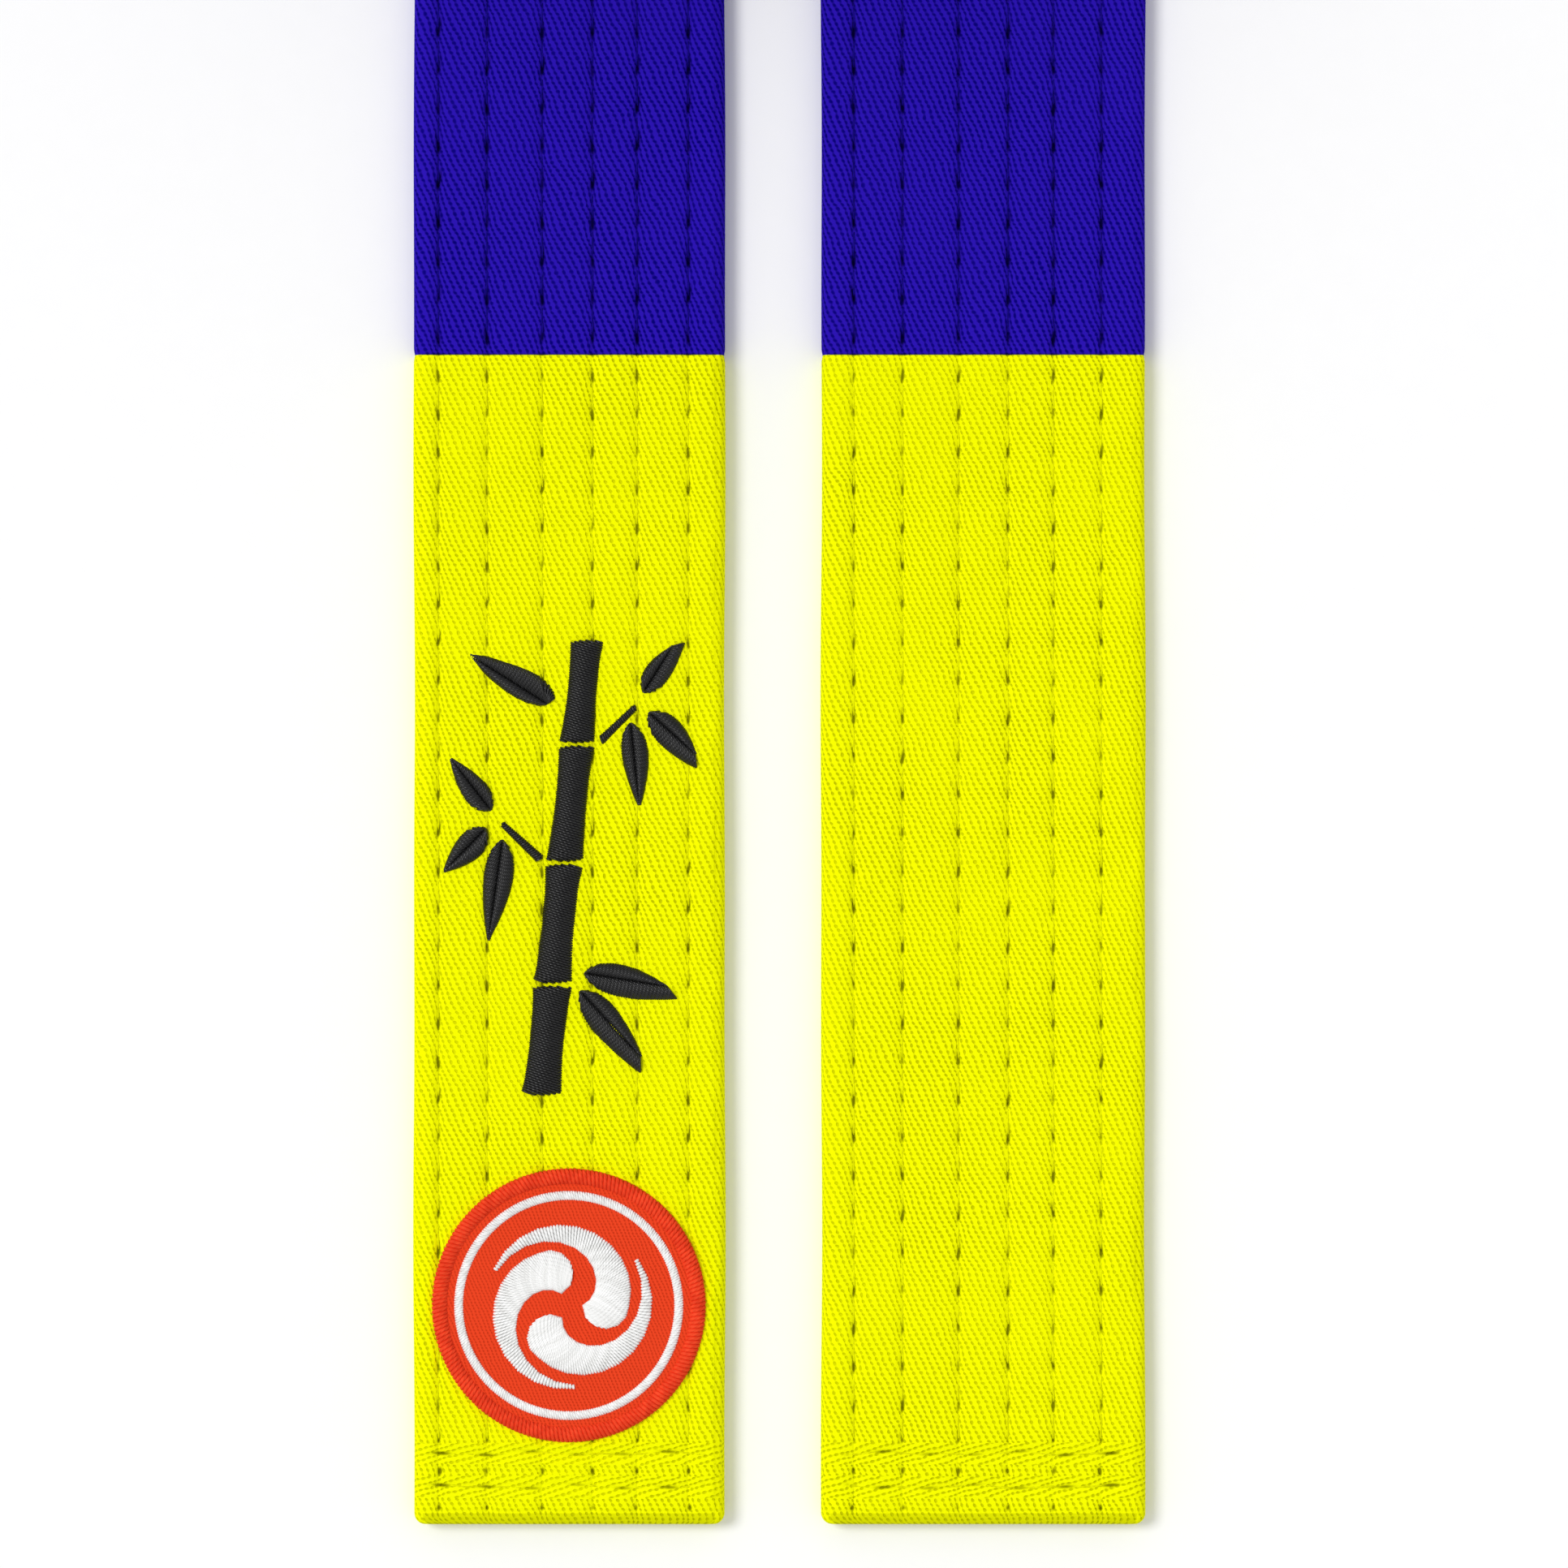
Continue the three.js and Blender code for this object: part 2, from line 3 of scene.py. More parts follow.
import bpy
import numpy as np
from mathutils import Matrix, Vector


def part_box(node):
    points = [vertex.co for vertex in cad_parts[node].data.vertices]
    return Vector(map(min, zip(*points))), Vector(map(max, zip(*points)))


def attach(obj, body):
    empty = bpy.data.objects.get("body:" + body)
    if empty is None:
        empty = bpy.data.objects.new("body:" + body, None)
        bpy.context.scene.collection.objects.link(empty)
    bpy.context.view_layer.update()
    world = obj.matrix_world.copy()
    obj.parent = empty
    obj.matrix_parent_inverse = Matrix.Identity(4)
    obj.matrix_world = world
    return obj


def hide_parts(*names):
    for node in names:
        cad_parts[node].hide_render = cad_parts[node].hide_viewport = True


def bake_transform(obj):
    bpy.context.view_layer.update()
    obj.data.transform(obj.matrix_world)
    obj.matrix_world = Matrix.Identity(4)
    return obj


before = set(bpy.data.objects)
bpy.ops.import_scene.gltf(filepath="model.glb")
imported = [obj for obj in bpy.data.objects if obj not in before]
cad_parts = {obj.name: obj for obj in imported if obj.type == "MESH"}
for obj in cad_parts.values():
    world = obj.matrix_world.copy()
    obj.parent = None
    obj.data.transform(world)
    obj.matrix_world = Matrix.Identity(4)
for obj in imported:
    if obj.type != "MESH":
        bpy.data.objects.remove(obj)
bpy.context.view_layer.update()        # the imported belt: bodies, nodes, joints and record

# A quilted martial arts belt: twill covers with sewn rows over three canvas plies, black bamboo
# embroidery and a round patch on end A. The two ends lie flat, the rest is put away as a twin roll.
#
# Shapes are worked out in millimetres in the frame's axes. Places on the strap are (along, across,
# out): along it from the tip of end A (negative) to the tip of end B, across it, and out of its
# middle layer towards its front. Pieces are made of closed bodies with their corners' data: u and v
# on the flat cloth, and the painted shade there, darker where the cloth is drawn into the sewing,
# in a band on the rounded tips and in a line along the colour seam.

MM = 0.001


def box_mm(node):
    low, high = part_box(node)
    return np.array(low) / MM, np.array(high) / MM


def middle_of(node):
    low, high = box_mm(node)
    return (low + high) / 2


# ---- Sizes from the frame ------------------------------------------------------------------------

END_A_LOW, END_A_HIGH = box_mm("cover_end_a")
END_B_LOW, END_B_HIGH = box_mm("cover_end_b")
LEAD_LOW, LEAD_HIGH = box_mm("cover_lead_b")
ROLL_HIGH = box_mm("cover_roll_b")[1]

HALF_WIDTH_A = (END_A_HIGH[0] - END_A_LOW[0]) / 2
HALF_WIDTH_B = (END_B_HIGH[0] - END_B_LOW[0]) / 2
LEG_OFFSET = middle_of("cover_end_b")[0]
HALF_THICKNESS = LEAD_HIGH[2] / 2
SEAM_Y = (LEAD_LOW[1] + END_B_HIGH[1]) / 2
TIP_Y = END_B_LOW[1]
NEAR_BENDS_Y = LEAD_HIGH[1]

# The twin roll has the same layers as in the design.
PITCH = 4.8
BEND_COUNT = 8
BEND_RADII = [PITCH * (1 + bend / 2) for bend in range(BEND_COUNT)]
RUN_LENGTH = ROLL_HIGH[1] - NEAR_BENDS_Y - BEND_RADII[-1] - HALF_THICKNESS
ROLL_MIDDLE_Z = HALF_THICKNESS + PITCH * BEND_COUNT / 2
FOLD_RADIUS = PITCH / 2
FOLD_HALF_ARC = math.pi * FOLD_RADIUS / 2
CROSSING_Y = RUN_LENGTH / 2

FIRST_BEND_AT = LEG_OFFSET + CROSSING_Y
LEAD_AT = FIRST_BEND_AT + math.pi * sum(BEND_RADII) + BEND_COUNT * RUN_LENGTH
LAST_RUN_AT = LEAD_AT - RUN_LENGTH
SEAM_AT = LEAD_AT + NEAR_BENDS_Y - SEAM_Y
TIP_AT = SEAM_AT + SEAM_Y - TIP_Y
MIDDLE_END_AT = FIRST_BEND_AT - 6

LEGS = (("a", -1), ("b", 1))  # places along leg A are negative
ROW_COUNT = 6
ROW_NUMBERS = range(1, ROW_COUNT + 1)
ROWS_AT_END_A = np.array(
    [-LEG_OFFSET - middle_of(f"quilt_thread_{row}_end_a")[0] for row in ROW_NUMBERS]
)
ROWS_AT_END_B = np.array(
    [middle_of(f"quilt_thread_{row}_end_b")[0] - LEG_OFFSET for row in ROW_NUMBERS]
)
CLOSING_ROWS = {
    name: middle_of(f"closing_stitch_{name}_end_b")[1] - TIP_Y for name in ("inner", "outer")
}

# ---- Cloth and sewing ----------------------------------------------------------------------------

EDGE_ROUNDING = 1.2
EDGE_STEPS = 5
TIP_ROUNDING = 1.7
TIP_CORNER = 1.4
TIP_HEM = 2.7
CROWN = 0.17  # height of the cloth between two rows of sewing
SEAM_DIP = 0.13
SEAM_DIP_WIDTH = 0.45
ROW_GROOVE = 0.11
CLOSING_GROOVE = 0.12
LINING_HALF = HALF_THICKNESS - 0.7
PLY_HALF = LINING_HALF - 0.05
PLY_GAP = 0.05
PLY_INSET = 1.6
PLIES = ("back", "middle", "front")

STITCH = 4.7
FIRST_HOLE = 2.7  # from the colour seam towards the tip
LAST_HOLE_FROM_TIP = 9.6
CLOSING_STITCH = 5.6
CLOSING_SHIFT = 1.1  # of the closing rows' holes, from the middle of the strap
BACK_LAG = 1.3  # how far the underside's holes lie from the front's, along the strap
MARKS_FROM_TIP = (6.8, 2.2)  # where the rows' last stitches show beside the closing rows
HOLE_DEPTH = 0.46
HOLE_LENGTHS = (1.5, 0.6)  # how far a slit tapers off before and after its deepest place
CLOSING_HOLE_LENGTHS = (1.2, 1.2)
THREAD_RADIUS = 0.13

TWILL_ACROSS = 0.79  # from line to line, measured across the strap
TWILL_ALONG = 0.6  # from dash to dash, measured along the strap
TWILL_SLANT = 0.42
CANVAS_YARN = 0.8

random = np.random.default_rng(7)


# ---- Where the strap goes ------------------------------------------------------------------------

def roll_point(distance):
    """Middle line of a leg in its Y-Z plane: y, z and the direction along it, for an array."""
    y, z = -distance, np.zeros_like(distance)
    along_y, along_z = -np.ones_like(distance), np.zeros_like(distance)
    start = 0.0
    for bend, radius in enumerate(BEND_RADII):
        side = -1 if bend % 2 == 0 else 1
        centre_y = 0 if side < 0 else RUN_LENGTH
        centre_z = PITCH if side < 0 else PITCH / 2
        angle = np.clip((distance - start) / radius, 0, math.pi)
        straight = np.maximum(distance - start - math.pi * radius, 0)
        reached = distance >= start
        y = np.where(reached, centre_y + side * (radius * np.sin(angle) - straight), y)
        z = np.where(reached, centre_z + side * radius * np.cos(angle), z)
        along_y = np.where(reached, side * np.cos(angle), along_y)
        along_z = np.where(reached, -side * np.sin(angle), along_z)
        start += math.pi * radius + RUN_LENGTH
    return y, z, along_y, along_z


def sway(along):
    """Small sideways wander of the layers in the roll. The leads and ends lie straight."""
    inside = np.clip((LEAD_AT - 20 - np.abs(along)) / 120, 0, 1)
    return inside * (0.5 * np.sin(along / 61) + 0.35 * np.sin(along / 23.7 + 1.1))


def place(along, across, out):
    """Points of the strap in space. Leg A is leg B mirrored left to right."""
    along, across, out = np.broadcast_arrays(along, across, out)
    hand = np.where(along < 0, -1.0, 1.0)
    far = np.abs(along)
    over_fold = (far - LEG_OFFSET - across) / math.sqrt(2)
    by_fold = (far - LEG_OFFSET + across) / math.sqrt(2)
    y, z, along_y, along_z = roll_point(far - FIRST_BEND_AT)
    angle = (over_fold + FOLD_HALF_ARC) / FOLD_RADIUS
    reach = (FOLD_RADIUS - out) * np.sin(angle) - FOLD_HALF_ARC
    leg = np.stack([LEG_OFFSET + across + sway(along), y + out * along_z, z - out * along_y])
    fold = np.stack([
        LEG_OFFSET + (by_fold + reach) / math.sqrt(2),
        CROSSING_Y + (reach - by_fold) / math.sqrt(2),
        FOLD_RADIUS + (FOLD_RADIUS - out) * np.cos(angle),
    ])
    crossing = np.stack([far, CROSSING_Y - across, PITCH - out])
    points = np.where(
        over_fold > FOLD_HALF_ARC, leg, np.where(over_fold > -FOLD_HALF_ARC, fold, crossing)
    )
    points[0] *= hand
    points[1] += NEAR_BENDS_Y
    points[2] += ROLL_MIDDLE_Z
    return np.moveaxis(points, 0, -1)


def half_width(along):
    """The strap narrows slowly inside the roll, from end B's width to end A's."""
    share = np.clip((along + LAST_RUN_AT) / 200, 0, 1)
    wander = 0.06 * np.sin(along / 17) + 0.05 * np.sin(along / 7.3)
    return HALF_WIDTH_A + (HALF_WIDTH_B - HALF_WIDTH_A) * share + wander


def row_places(along):
    share = np.clip((along + LAST_RUN_AT) / (2 * LAST_RUN_AT), 0, 1)
    return ROWS_AT_END_A + (ROWS_AT_END_B - ROWS_AT_END_A) * np.asarray(share)[..., None]


def stations(start, end, step):
    """Places along the strap, closer together in its tight bends."""
    places = [start]
    while places[-1] < end - 1e-6:
        distance = abs(places[-1]) - FIRST_BEND_AT
        here = step
        for radius in BEND_RADII:
            if -step <= distance <= math.pi * radius:
                here = min(step, 0.22 * radius)
            distance -= math.pi * radius + RUN_LENGTH
        places.append(min(places[-1] + here, end))
    return np.array(places)


# ---- Relief of the quilted cloth -----------------------------------------------------------------

def bell(distance, width):
    """1 at no distance, falling off smoothly over about the width."""
    return np.exp(-((distance / width) ** 2))


def waviness(along, across):
    """Soft unevenness of the stuffed cloth, from a few waves."""
    total = np.zeros(np.broadcast(along, across).shape)
    for length, height in ((31, 0.045), (19, 0.04), (11.3, 0.03), (6.1, 0.02)):
        turn = length * 0.7
        total += height * np.sin(along / length * 2 * math.pi + np.sin(across / turn) * 2)
        total += height * np.sin(across / turn * 2 + along / length * 3.3 + length)
    return total


def needle_hole(beside, beyond, slant, depth, lengths):
    """A slit where the needle went in: beside is across its row, beyond is along it."""
    off = beside - slant * beyond
    length = np.where(beyond < 0, lengths[0], lengths[1])
    return depth * np.exp(-((off / 0.24) ** 2) - (beyond / length) ** 2)


def row_relief(along, across, rows):
    """Grooves and needle holes of the six rows, as a depth, and the swelling between holes."""
    depth = np.zeros(along.shape)
    swell = np.zeros(along.shape)
    phase = (np.abs(along) - SEAM_AT - FIRST_HOLE) / STITCH
    number = np.round(phase)
    for row in range(ROW_COUNT):
        beside = across - rows[:, row, None]
        chance = np.sin(number * 12.9898 + row * 78.233) * 43758.5453
        chance = chance - np.floor(chance)
        beyond = (phase - number) * STITCH + 0.5 * (chance - 0.5)
        slant = 0.4 * (chance - 0.45)
        depth += ROW_GROOVE * bell(beside, 0.5)
        hole = needle_hole(beside, beyond, slant, HOLE_DEPTH - ROW_GROOVE, HOLE_LENGTHS)
        depth += hole * (0.55 + 0.45 * np.sin(number * 3.7 + row * 2.1) ** 2)
        swell += 0.05 * np.cos(2 * math.pi * (phase - 0.5)) * bell(beside, 1.5)
    return depth, swell


def closing_wander(hole, from_tip):
    """How far a needle hole of a closing row lies off its straight line."""
    return 0.25 * np.sin(hole * 2.3 + from_tip)


def closing_relief(along, across, rows):
    """The two rows sewn across each tip, a small ridge beside each, and the quilting's marks."""
    depth = np.zeros(along.shape)
    ridge = np.zeros(along.shape)
    from_tip = TIP_AT - np.abs(along)
    phase = (across + CLOSING_SHIFT) / CLOSING_STITCH
    number = np.round(phase)
    for row_from_tip in CLOSING_ROWS.values():
        beside = from_tip - row_from_tip + closing_wander(number, row_from_tip)
        beyond = (phase - number) * CLOSING_STITCH
        inside = np.clip((17.4 - np.abs(across)) / 0.6, 0, 1)
        depth += CLOSING_GROOVE * bell(beside, 0.55) * inside
        hole = needle_hole(beside, beyond, 0.06, HOLE_DEPTH - CLOSING_GROOVE, CLOSING_HOLE_LENGTHS)
        depth += hole * inside * (0.45 + 0.4 * np.sin(number * 2.7) ** 2)
        ridge += 0.07 * bell(np.abs(beside) - 1.3, 0.6)
        ridge += 0.03 * np.sin((across + 2.2 * beside) * 2.9) * bell(beside, 1.2)
    for mark in MARKS_FROM_TIP:
        for row in range(ROW_COUNT):
            beside = across - rows[:, row, None] + 0.2 * math.sin(row * 2.6 + mark)
            depth += needle_hole(beside, mark - from_tip, 0, 0.24, (0.4, 0.4))
    return depth, ridge


def cloth_relief(along, across, rows, share):
    """Height of the cloth above its flat level, and the painted shade: darker in the sewing's grooves
    and needle holes, in a band on the rounded tip and in a thin line along the colour seam.
    """
    depth, swell = row_relief(along, across, rows)
    closing_depth, ridge = closing_relief(along, across, rows)
    between_rows = (4 * share * (1 - share)) ** 0.55
    to_seam = np.abs(np.abs(along) - SEAM_AT)
    from_tip = TIP_AT - np.abs(along)
    edge = np.clip(from_tip / 2.0, 0, 1)
    to_closing = np.min([np.abs(from_tip - row) for row in CLOSING_ROWS.values()], axis=0)
    apart = np.clip((to_closing - 0.9) / 0.7, 0, 1) * np.clip((from_tip - 1.7) / 0.3, 0, 1)
    depth = depth * apart + closing_depth
    fold_line = 0.16 * bell(from_tip - TIP_ROUNDING, 0.3)
    pleats = 0.03 * np.sin(across * 4.6 + np.sin(across)) * bell(from_tip, 1.6)
    height = (CROWN + waviness(along, across)) * between_rows + swell * apart + ridge
    height = edge * (height - depth) - fold_line + pleats
    # Painted shade: the sewing's depth, a band on the rounded tip that turns away from the light, and a
    # thin dark line in the colour seam's groove.
    shade = edge * depth + 0.21 * np.clip((TIP_ROUNDING + 0.1 - from_tip) / 0.3, 0, 1)
    shade = shade + 0.3 * bell(to_seam, 0.13)
    return height - SEAM_DIP * bell(to_seam, SEAM_DIP_WIDTH), shade


def pressed_flat(along, height):
    """The underside's relief. Where the strap lies on the table none of it stands proud."""
    free = np.clip((LAST_RUN_AT - 6 - np.abs(along)) / 6, 0, 1)
    return np.minimum(height, free)


# ---- Meshes --------------------------------------------------------------------------------------

class Body:
    """Collects the points, faces and corner data (u, v, painted shade) of one piece."""

    def __init__(self):
        self.points = []
        self.faces = []
        self.data = []
        self.count = 0

    def add_points(self, points):
        """Adds points of any array shape and gives their numbers back in that shape."""
        flat = points.reshape(-1, 3)
        self.points.append(flat)
        numbers = np.arange(self.count, self.count + len(flat)).reshape(points.shape[:-1])
        self.count += len(flat)
        return numbers

    def add_faces(self, faces, data):
        self.faces.extend(faces.tolist())
        self.data.append(data.reshape(-1, 3))

    def add_grid(self, numbers, data, inward=False):
        """Faces between neighbours of a grid of point numbers."""
        corners = [numbers[:-1, :-1], numbers[:-1, 1:], numbers[1:, 1:], numbers[1:, :-1]]
        values = [data[:-1, :-1], data[:-1, 1:], data[1:, 1:], data[1:, :-1]]
        if inward:
            corners.reverse()
            values.reverse()
        faces = np.stack(corners, axis=-1).reshape(-1, 4)
        self.add_faces(faces, np.stack(values, axis=-2))

    def add_slab(self, first, second, data, flipped=False):
        """A closed slab between two grids of points, with the same data on both."""
        first, second = self.add_points(first), self.add_points(second)
        self.add_grid(first, data, inward=flipped)
        self.add_grid(second, data, inward=not flipped)
        for side, inward in ((0, True), (-1, False)):
            for edge, turned_in in (((slice(None), side), inward), ((side,), not inward)):
                wall = np.stack([first[edge], second[edge]], axis=1)
                values = np.stack([data[edge]] * 2, axis=1)
                self.add_grid(wall, values, inward=turned_in != flipped)

    def make(self, name, material):
        mesh = bpy.data.meshes.new(name)
        mesh.from_pydata((np.concatenate(self.points) * MM).tolist(), [], self.faces)
        data = np.concatenate(self.data).astype(np.float32)
        weave = mesh.uv_layers.new(name="weave")
        weave.data.foreach_set("uv", np.ascontiguousarray(data[:, :2] * MM).ravel())
        # A second UV layer keeps each corner's painted shade, which darkens the twill's colour.
        painted_shade = mesh.uv_layers.new(name="painted_shade")
        depth = np.column_stack([data[:, 2], np.zeros(len(data), np.float32)])
        painted_shade.data.foreach_set("uv", depth.astype(np.float32).ravel())
        mesh.shade_smooth()
        mesh.materials.append(material)
        piece = bpy.data.objects.new(name, mesh)
        bpy.context.scene.collection.objects.link(piece)
        return piece


def closed(grid, axis=1):
    """Repeats a grid's first column, or row, after its last."""
    return np.concatenate([grid, grid.take([0], axis)], axis)


def add_cap(body, ring, data, inward):
    """Closes a ring that starts in the middle of its left edge, side to side."""
    count = len(ring)
    low = np.arange(1, count // 2)
    low_next = low[:-1]
    quads = np.stack([low_next, low_next + 1, count - low_next - 1, count - low_next], axis=-1)
    middle = count // 2
    ends = np.array([[0, 1, count - 1], [middle - 1, middle, middle + 1]])
    for corners in (quads, ends):
        if inward:
            corners = corners[:, ::-1]
        body.add_faces(ring[corners], data[corners])


def add_rim(body, outer, outer_share, inner, inner_share, data, inward):
    """Triangles between two closed rings that start at the same place and turn the same way."""
    triangles = []
    values = []
    i = j = 0
    while i < len(outer) or j < len(inner):
        outer_first = j == len(inner) or (i < len(outer) and outer_share[i + 1] <= inner_share[j + 1])
        here, below = outer[i % len(outer)], inner[j % len(inner)]
        value = data[min(i, len(outer) - 1)]
        if outer_first:
            i += 1
            corners = [here, outer[i % len(outer)], below]
        else:
            j += 1
            corners = [here, inner[j % len(inner)], below]
        triangles.append(corners[::-1] if inward else corners)
        values.append([value] * 3)
    body.add_faces(np.array(triangles), np.array(values))


def length_share(ring):
    """Distance round a closed ring at each corner, as a share of the whole."""
    steps = np.linalg.norm(np.roll(ring, -1, axis=0) - ring, axis=1)
    return np.concatenate([[0], np.cumsum(steps)]) / steps.sum()


# ---- Sleeves of cloth ----------------------------------------------------------------------------

def tip_shape(along):
    """How much thinner (a share) and narrower (mm) the strap is near its folded tips."""
    from_tip = TIP_AT - np.abs(along)
    thin = 1 - np.clip(1 - from_tip / TIP_ROUNDING, 0, 1) ** 2.4
    narrow = 1 - np.clip(1 - from_tip / TIP_CORNER, 0, 1) ** 2
    return 0.16 + 0.84 * np.maximum(thin, 0) ** (1 / 2.4), TIP_CORNER * (1 - np.sqrt(narrow))


def outer_rings(along, slant, columns):
    """Rings round the strap: across, out, and the corners' painted shade with the first column repeated.
    """
    half = half_width(along)
    rows = row_places(along)
    flat = half - EDGE_ROUNDING
    knots = np.column_stack([-flat, rows, flat])
    share = (1 - np.cos(math.pi * np.arange(columns) / columns)) / 2
    cells = knots[:, :-1, None] + np.diff(knots, axis=1)[:, :, None] * share
    across = np.column_stack([cells.reshape(len(along), -1), knots[:, -1]])
    shares = np.append(np.tile(share, ROW_COUNT + 1), 1.0)
    here = along[:, None] + slant[:, None] * across

    front, front_shade = cloth_relief(here, across, rows, shares)
    back, back_shade = cloth_relief(here + BACK_LAG, across, rows, shares)
    back = pressed_flat(here, back)
    angles = (np.arange(EDGE_STEPS) + 1) / (EDGE_STEPS + 1) * math.pi / 2
    side = flat[:, None] + EDGE_ROUNDING * np.cos(angles) ** 0.8
    rise = HALF_THICKNESS * np.sin(angles) ** 0.8 + 0 * side
    edge_dip = SEAM_DIP * bell(np.abs(along) - SEAM_AT, SEAM_DIP_WIDTH)[:, None]
    side = side - edge_dip
    tip = half[:, None] - edge_dip
    none = np.zeros_like(tip)
    ring_across = np.column_stack(
        [-tip, -side, across, side[:, ::-1], tip, side, across[:, ::-1], -side[:, ::-1]]
    )
    ring_out = np.column_stack([
        none, -rise, -HALF_THICKNESS - back, -rise[:, ::-1],
        none, rise, HALF_THICKNESS + front[:, ::-1], rise[:, ::-1],
    ])
    zeros = np.zeros_like(side)
    # The corners' painted shade: none round the edges, the shade worked out for the underside and the
    # front on the faces.
    ring_shade = np.column_stack(
        [none, zeros, back_shade, zeros, none, zeros, front_shade[:, ::-1], zeros, none]
    )
    return ring_across, ring_out, ring_shade


def cloth_data(along, slant, across, out, depth):
    """Flat-cloth places of the ring's corners, with the painted shade (depth) as third value. The weave
    is drawn towards rows and needle holes.
    """
    wrapped = closed(across)
    flat = (half_width(along) - EDGE_ROUNDING + 0.001)[:, None]
    level = np.where(np.abs(wrapped) > flat, closed(out), np.sign(closed(out)) * HALF_THICKNESS)
    steps = np.hypot(np.diff(wrapped, axis=1), np.diff(level, axis=1))
    around = np.concatenate([np.zeros((len(along), 1)), np.cumsum(steps, axis=1)], axis=1)
    u = around[:, -1:] * 0.75 - around
    here = along[:, None] + slant[:, None] * wrapped
    rows = row_places(along)
    drawn = np.zeros_like(u)
    pulled = np.zeros_like(u)
    phase = (np.abs(here) - SEAM_AT - FIRST_HOLE) / STITCH
    for row in range(ROW_COUNT):
        beside = wrapped - rows[:, row, None]
        near = bell(beside, 1.6)
        drawn += 0.3 * beside * near
        pulled += 0.16 * np.sin(2 * math.pi * phase + row) * near
    front = np.where(closed(out) > 0, 1, -1)
    return np.stack([u + front * drawn, -here + pulled, depth], axis=-1)


def lining_ring(along):
    """The inside of the cover at one or more places: 16 corners round the plies."""
    half = half_width(along) - 0.9
    across = np.array([-1.01, -1, -0.9, -0.6, -0.2, 0.2, 0.6, 0.9, 1, 1.01, 1, 0.9, 0.5, -0.5, -0.9, -1])
    out = np.array([0, -0.7, -1, -1, -1, -1, -1, -1, -0.7, 0, 0.7, 1, 1, 1, 1, 0.7])
    return half[:, None] * across, LINING_HALF * out + 0 * half[:, None]


def sleeve(name, along, slant, columns, material, closed_start=False, closed_end=False):
    """A cover of real thickness round the plies, open at its seams and closed at a belt tip."""
    # depth here is the painted shade of the ring's corners.
    across, out, depth = outer_rings(along, slant, columns)
    data = cloth_data(along, slant, across, out, depth)
    thin, narrow = tip_shape(along)
    half = half_width(along)
    across = across * ((half - narrow) / half)[:, None]
    out = out * thin[:, None]
    here = along[:, None] + slant[:, None] * across
    body = Body()
    outer = body.add_points(place(here, across, out))
    body.add_grid(closed(outer), data)

    step = 1 if slant.any() else max(1, int(3 / np.median(np.diff(along))))
    places = along[::step]
    if places[-1] < along[-1]:
        places = np.append(places, along[-1])
    hem = TIP_AT - TIP_HEM
    if closed_start:
        places = np.append([-hem], places[places > 1 - hem])
    if closed_end:
        places = np.append(places[places < hem - 1], [hem])
    slants = np.interp(places, along, slant)
    inner_across, inner_out = lining_ring(places)
    inner_here = places[:, None] + slants[:, None] * inner_across
    inner = body.add_points(place(inner_here, inner_across, inner_out))
    inner_data = np.stack([closed(inner_across), closed(inner_here), 0 * closed(inner_here)], -1)
    body.add_grid(closed(inner), inner_data, inward=True)

    for end, is_closed in ((0, closed_start), (-1, closed_end)):
        inward = end == 0
        if is_closed:
            add_cap(body, outer[end], data[end], inward)
            add_cap(body, inner[end], inner_data[end], not inward)
        else:
            outer_share = length_share(np.column_stack([across[end], out[end]]))
            inner_share = length_share(np.column_stack([inner_across[end], inner_out[end]]))
            add_rim(body, outer[end], outer_share, inner[end], inner_share, data[end], inward)
    return body.make(name, material)


def ply(name, along, slant, level, material):
    """One canvas ply of the core."""
    thickness = (2 * PLY_HALF - 2 * PLY_GAP) / len(PLIES)
    bottom = -PLY_HALF + level * (thickness + PLY_GAP)
    half = half_width(along)[:, None] - PLY_INSET
    across = half * np.linspace(-1, 1, 13)
    here = along[:, None] + slant[:, None] * across
    ripple = 0.02 * np.sin(here / 3.1 + level) * np.cos(across / 2.3)
    low = place(here, across, bottom + 0 * here)
    high = place(here, across, bottom + thickness + 0.5 * ripple - 0.01)
    body = Body()
    body.add_slab(low, high, np.stack([across, -here, 0 * here], -1))
    return body.make(name, material)


# ---- Threads -------------------------------------------------------------------------------------

def add_tubes(body, paths, sideways, radius, sides):
    """Round threads along paths of shape (threads, points, 3), closed at both ends."""
    direction = np.gradient(paths, axis=1)
    direction /= np.linalg.norm(direction, axis=-1, keepdims=True)
    normal = np.cross(direction, sideways)
    normal /= np.linalg.norm(normal, axis=-1, keepdims=True)
    side = np.cross(normal, direction)
    angles = 2 * math.pi * np.arange(sides) / sides
    ring = np.cos(angles)[:, None] * side[:, :, None] + np.sin(angles)[:, None] * normal[:, :, None]
    numbers = body.add_points(paths[:, :, None] + radius * ring)
    steps = np.linalg.norm(np.diff(paths, axis=1), axis=-1)
    far = np.concatenate([np.zeros((len(paths), 1)), np.cumsum(steps, axis=1)], axis=1)
    far = far + np.arange(len(paths))[:, None] * 0.37
    around = np.arange(sides + 1) * 2 * math.pi * radius / sides
    for thread in range(len(paths)):
        v, u = np.meshgrid(far[thread], around, indexing="ij")
        data = np.stack([u, v, 0 * u], -1)
        body.add_grid(closed(numbers[thread]), data)
        body.add_faces(numbers[thread, :1, ::-1], data[:1, :sides])
        body.add_faces(numbers[thread, -1:], data[-1:, :sides])


def stitch_profile():
    """One stitch between two needle holes: places along it, and its height above the cloth."""
    places = np.array([0, 0.4, 0.75, 1.1, 1.7, 3.0, 3.6, 3.95, 4.3]) / STITCH
    heights = np.array([-0.6, -0.5, -0.3, -0.02, 0.05, 0.05, -0.02, -0.3, -0.5])
    return places, heights


